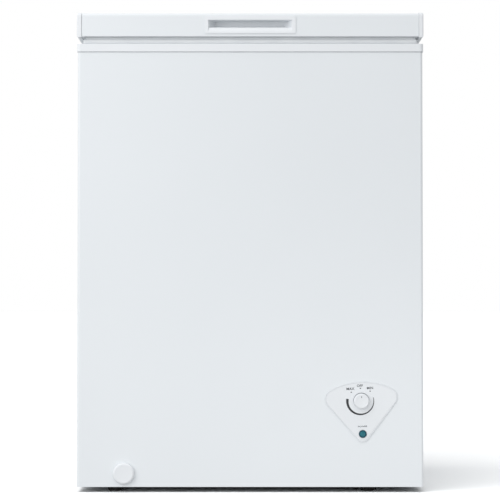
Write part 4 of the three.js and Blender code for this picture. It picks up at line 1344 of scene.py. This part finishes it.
# %% [markdown]
# ## The light
# Three large soft lamps model the shape: one at the left, one above, and a weak low one at the
# front that stands for light thrown up by the floor. The surround is seen as plain white, but
# lights the freezer a little less, and grows from the lower right to the upper left. A sun of its
# own shines on the floor alone, through light linking, so that the floor is nearly as white as
# the surround and still takes a soft shadow.

# %% Make the surround
bright_way = (-0.3, 0.0, 0.95)
fade = 0.45


def surround_light(tree, low_side, high_side):
    """Light that grows from the lower right to the upper left, with no edge between."""
    direction = tree.nodes.new("ShaderNodeTexCoord").outputs["Generated"]
    along = tree.nodes.new("ShaderNodeVectorMath")
    along.operation = "DOT_PRODUCT"
    along.inputs[1].default_value = bright_way
    tree.links.new(direction, along.inputs[0])
    return spread(tree, along.outputs["Value"], low_side, high_side, -fade, fade)


world = bpy.data.worlds.new("studio_surround")
world.use_nodes = True
tree = world.node_tree
seen = tree.nodes["Background"]
seen.inputs["Strength"].default_value = 1.0
seen.inputs["Color"].default_value = (1.0, 1.0, 1.0, 1.0)
lighting = tree.nodes.new("ShaderNodeBackground")
lighting.inputs["Color"].default_value = (0.985, 0.992, 1.0, 1.0)
low_side = 0.53
high_side = 0.82
tree.links.new(surround_light(tree, low_side, high_side), lighting.inputs["Strength"])
either = tree.nodes.new("ShaderNodeMixShader")
rays = tree.nodes.new("ShaderNodeLightPath")
tree.links.new(rays.outputs["Is Camera Ray"], either.inputs["Fac"])
tree.links.new(lighting.outputs["Background"], either.inputs[1])
tree.links.new(seen.outputs["Background"], either.inputs[2])
tree.links.new(either.outputs["Shader"], tree.nodes["World Output"].inputs["Surface"])
bpy.context.scene.world = world
print("the surround's light runs from", low_side, "to", high_side)


# %% Set the soft lamps
def softbox(name, place, target, width, height, power):
    data = bpy.data.lights.new(name, "AREA")
    data.shape = "RECTANGLE"
    data.size = width
    data.size_y = height
    data.energy = power
    lamp = add_object(name, data)
    lamp.location = place
    lamp.rotation_euler = (Vector(target) - Vector(place)).to_track_quat("-Z", "Y").to_euler()
    print(name, "gives", power, "W")


softbox("left_softbox", (-1.7, -1.9, 1.2), (0, -0.2, 0.5), width=1.3, height=1.7, power=20)
softbox("top_softbox", (-0.3, -0.9, 2.2), (0, 0, 0.6), width=1.6, height=1.0, power=6)
softbox("low_softbox", (0.25, -0.75, 0.03), (0.1, -0.4, 0.3), width=1.6, height=0.5, power=1.0)

# %% Light the floor
sun_data = bpy.data.lights.new("floor_light", "SUN")
sun_data.angle = math.radians(40)
sun_data.energy = 1.2
floor_light = add_object("floor_light", sun_data)
floor_light.rotation_euler = (math.radians(12), math.radians(-14), 0)
floor_only = bpy.data.collections.new("floor_only")
floor_only.objects.link(studio_floor)
floor_light.light_linking.receiver_collection = floor_only
bpy.context.scene.view_settings.view_transform = "Standard"

# %% [markdown]
# ## The camera
# The camera looks at the front from a little below the middle of the cabinet and is tipped up by
# a degree and a half. It stands far enough away, with a long lens, that the sides stay hidden and
# upright edges look parallel.

# %% Place the camera
tipped_up = 1.542
camera_data = bpy.data.cameras.new("front_camera")
camera_data.sensor_width = 36.0
camera_data.lens = 129.62
camera = add_object("front_camera", camera_data)
camera.location = (-0.0003, -3.47, 0.3435)
camera.rotation_euler = (math.radians(90 + tipped_up), 0.0, 0.0)
bpy.context.scene.camera = camera
print("the camera stands", -camera.location.y, "m in front of the middle")

# %% [markdown]
# ## The last step
# The finished pieces must stay inside the box of the solids they dress. The last cell brings the
# scene up to date.

# %% Bring the scene up to date
bpy.context.view_layer.update()
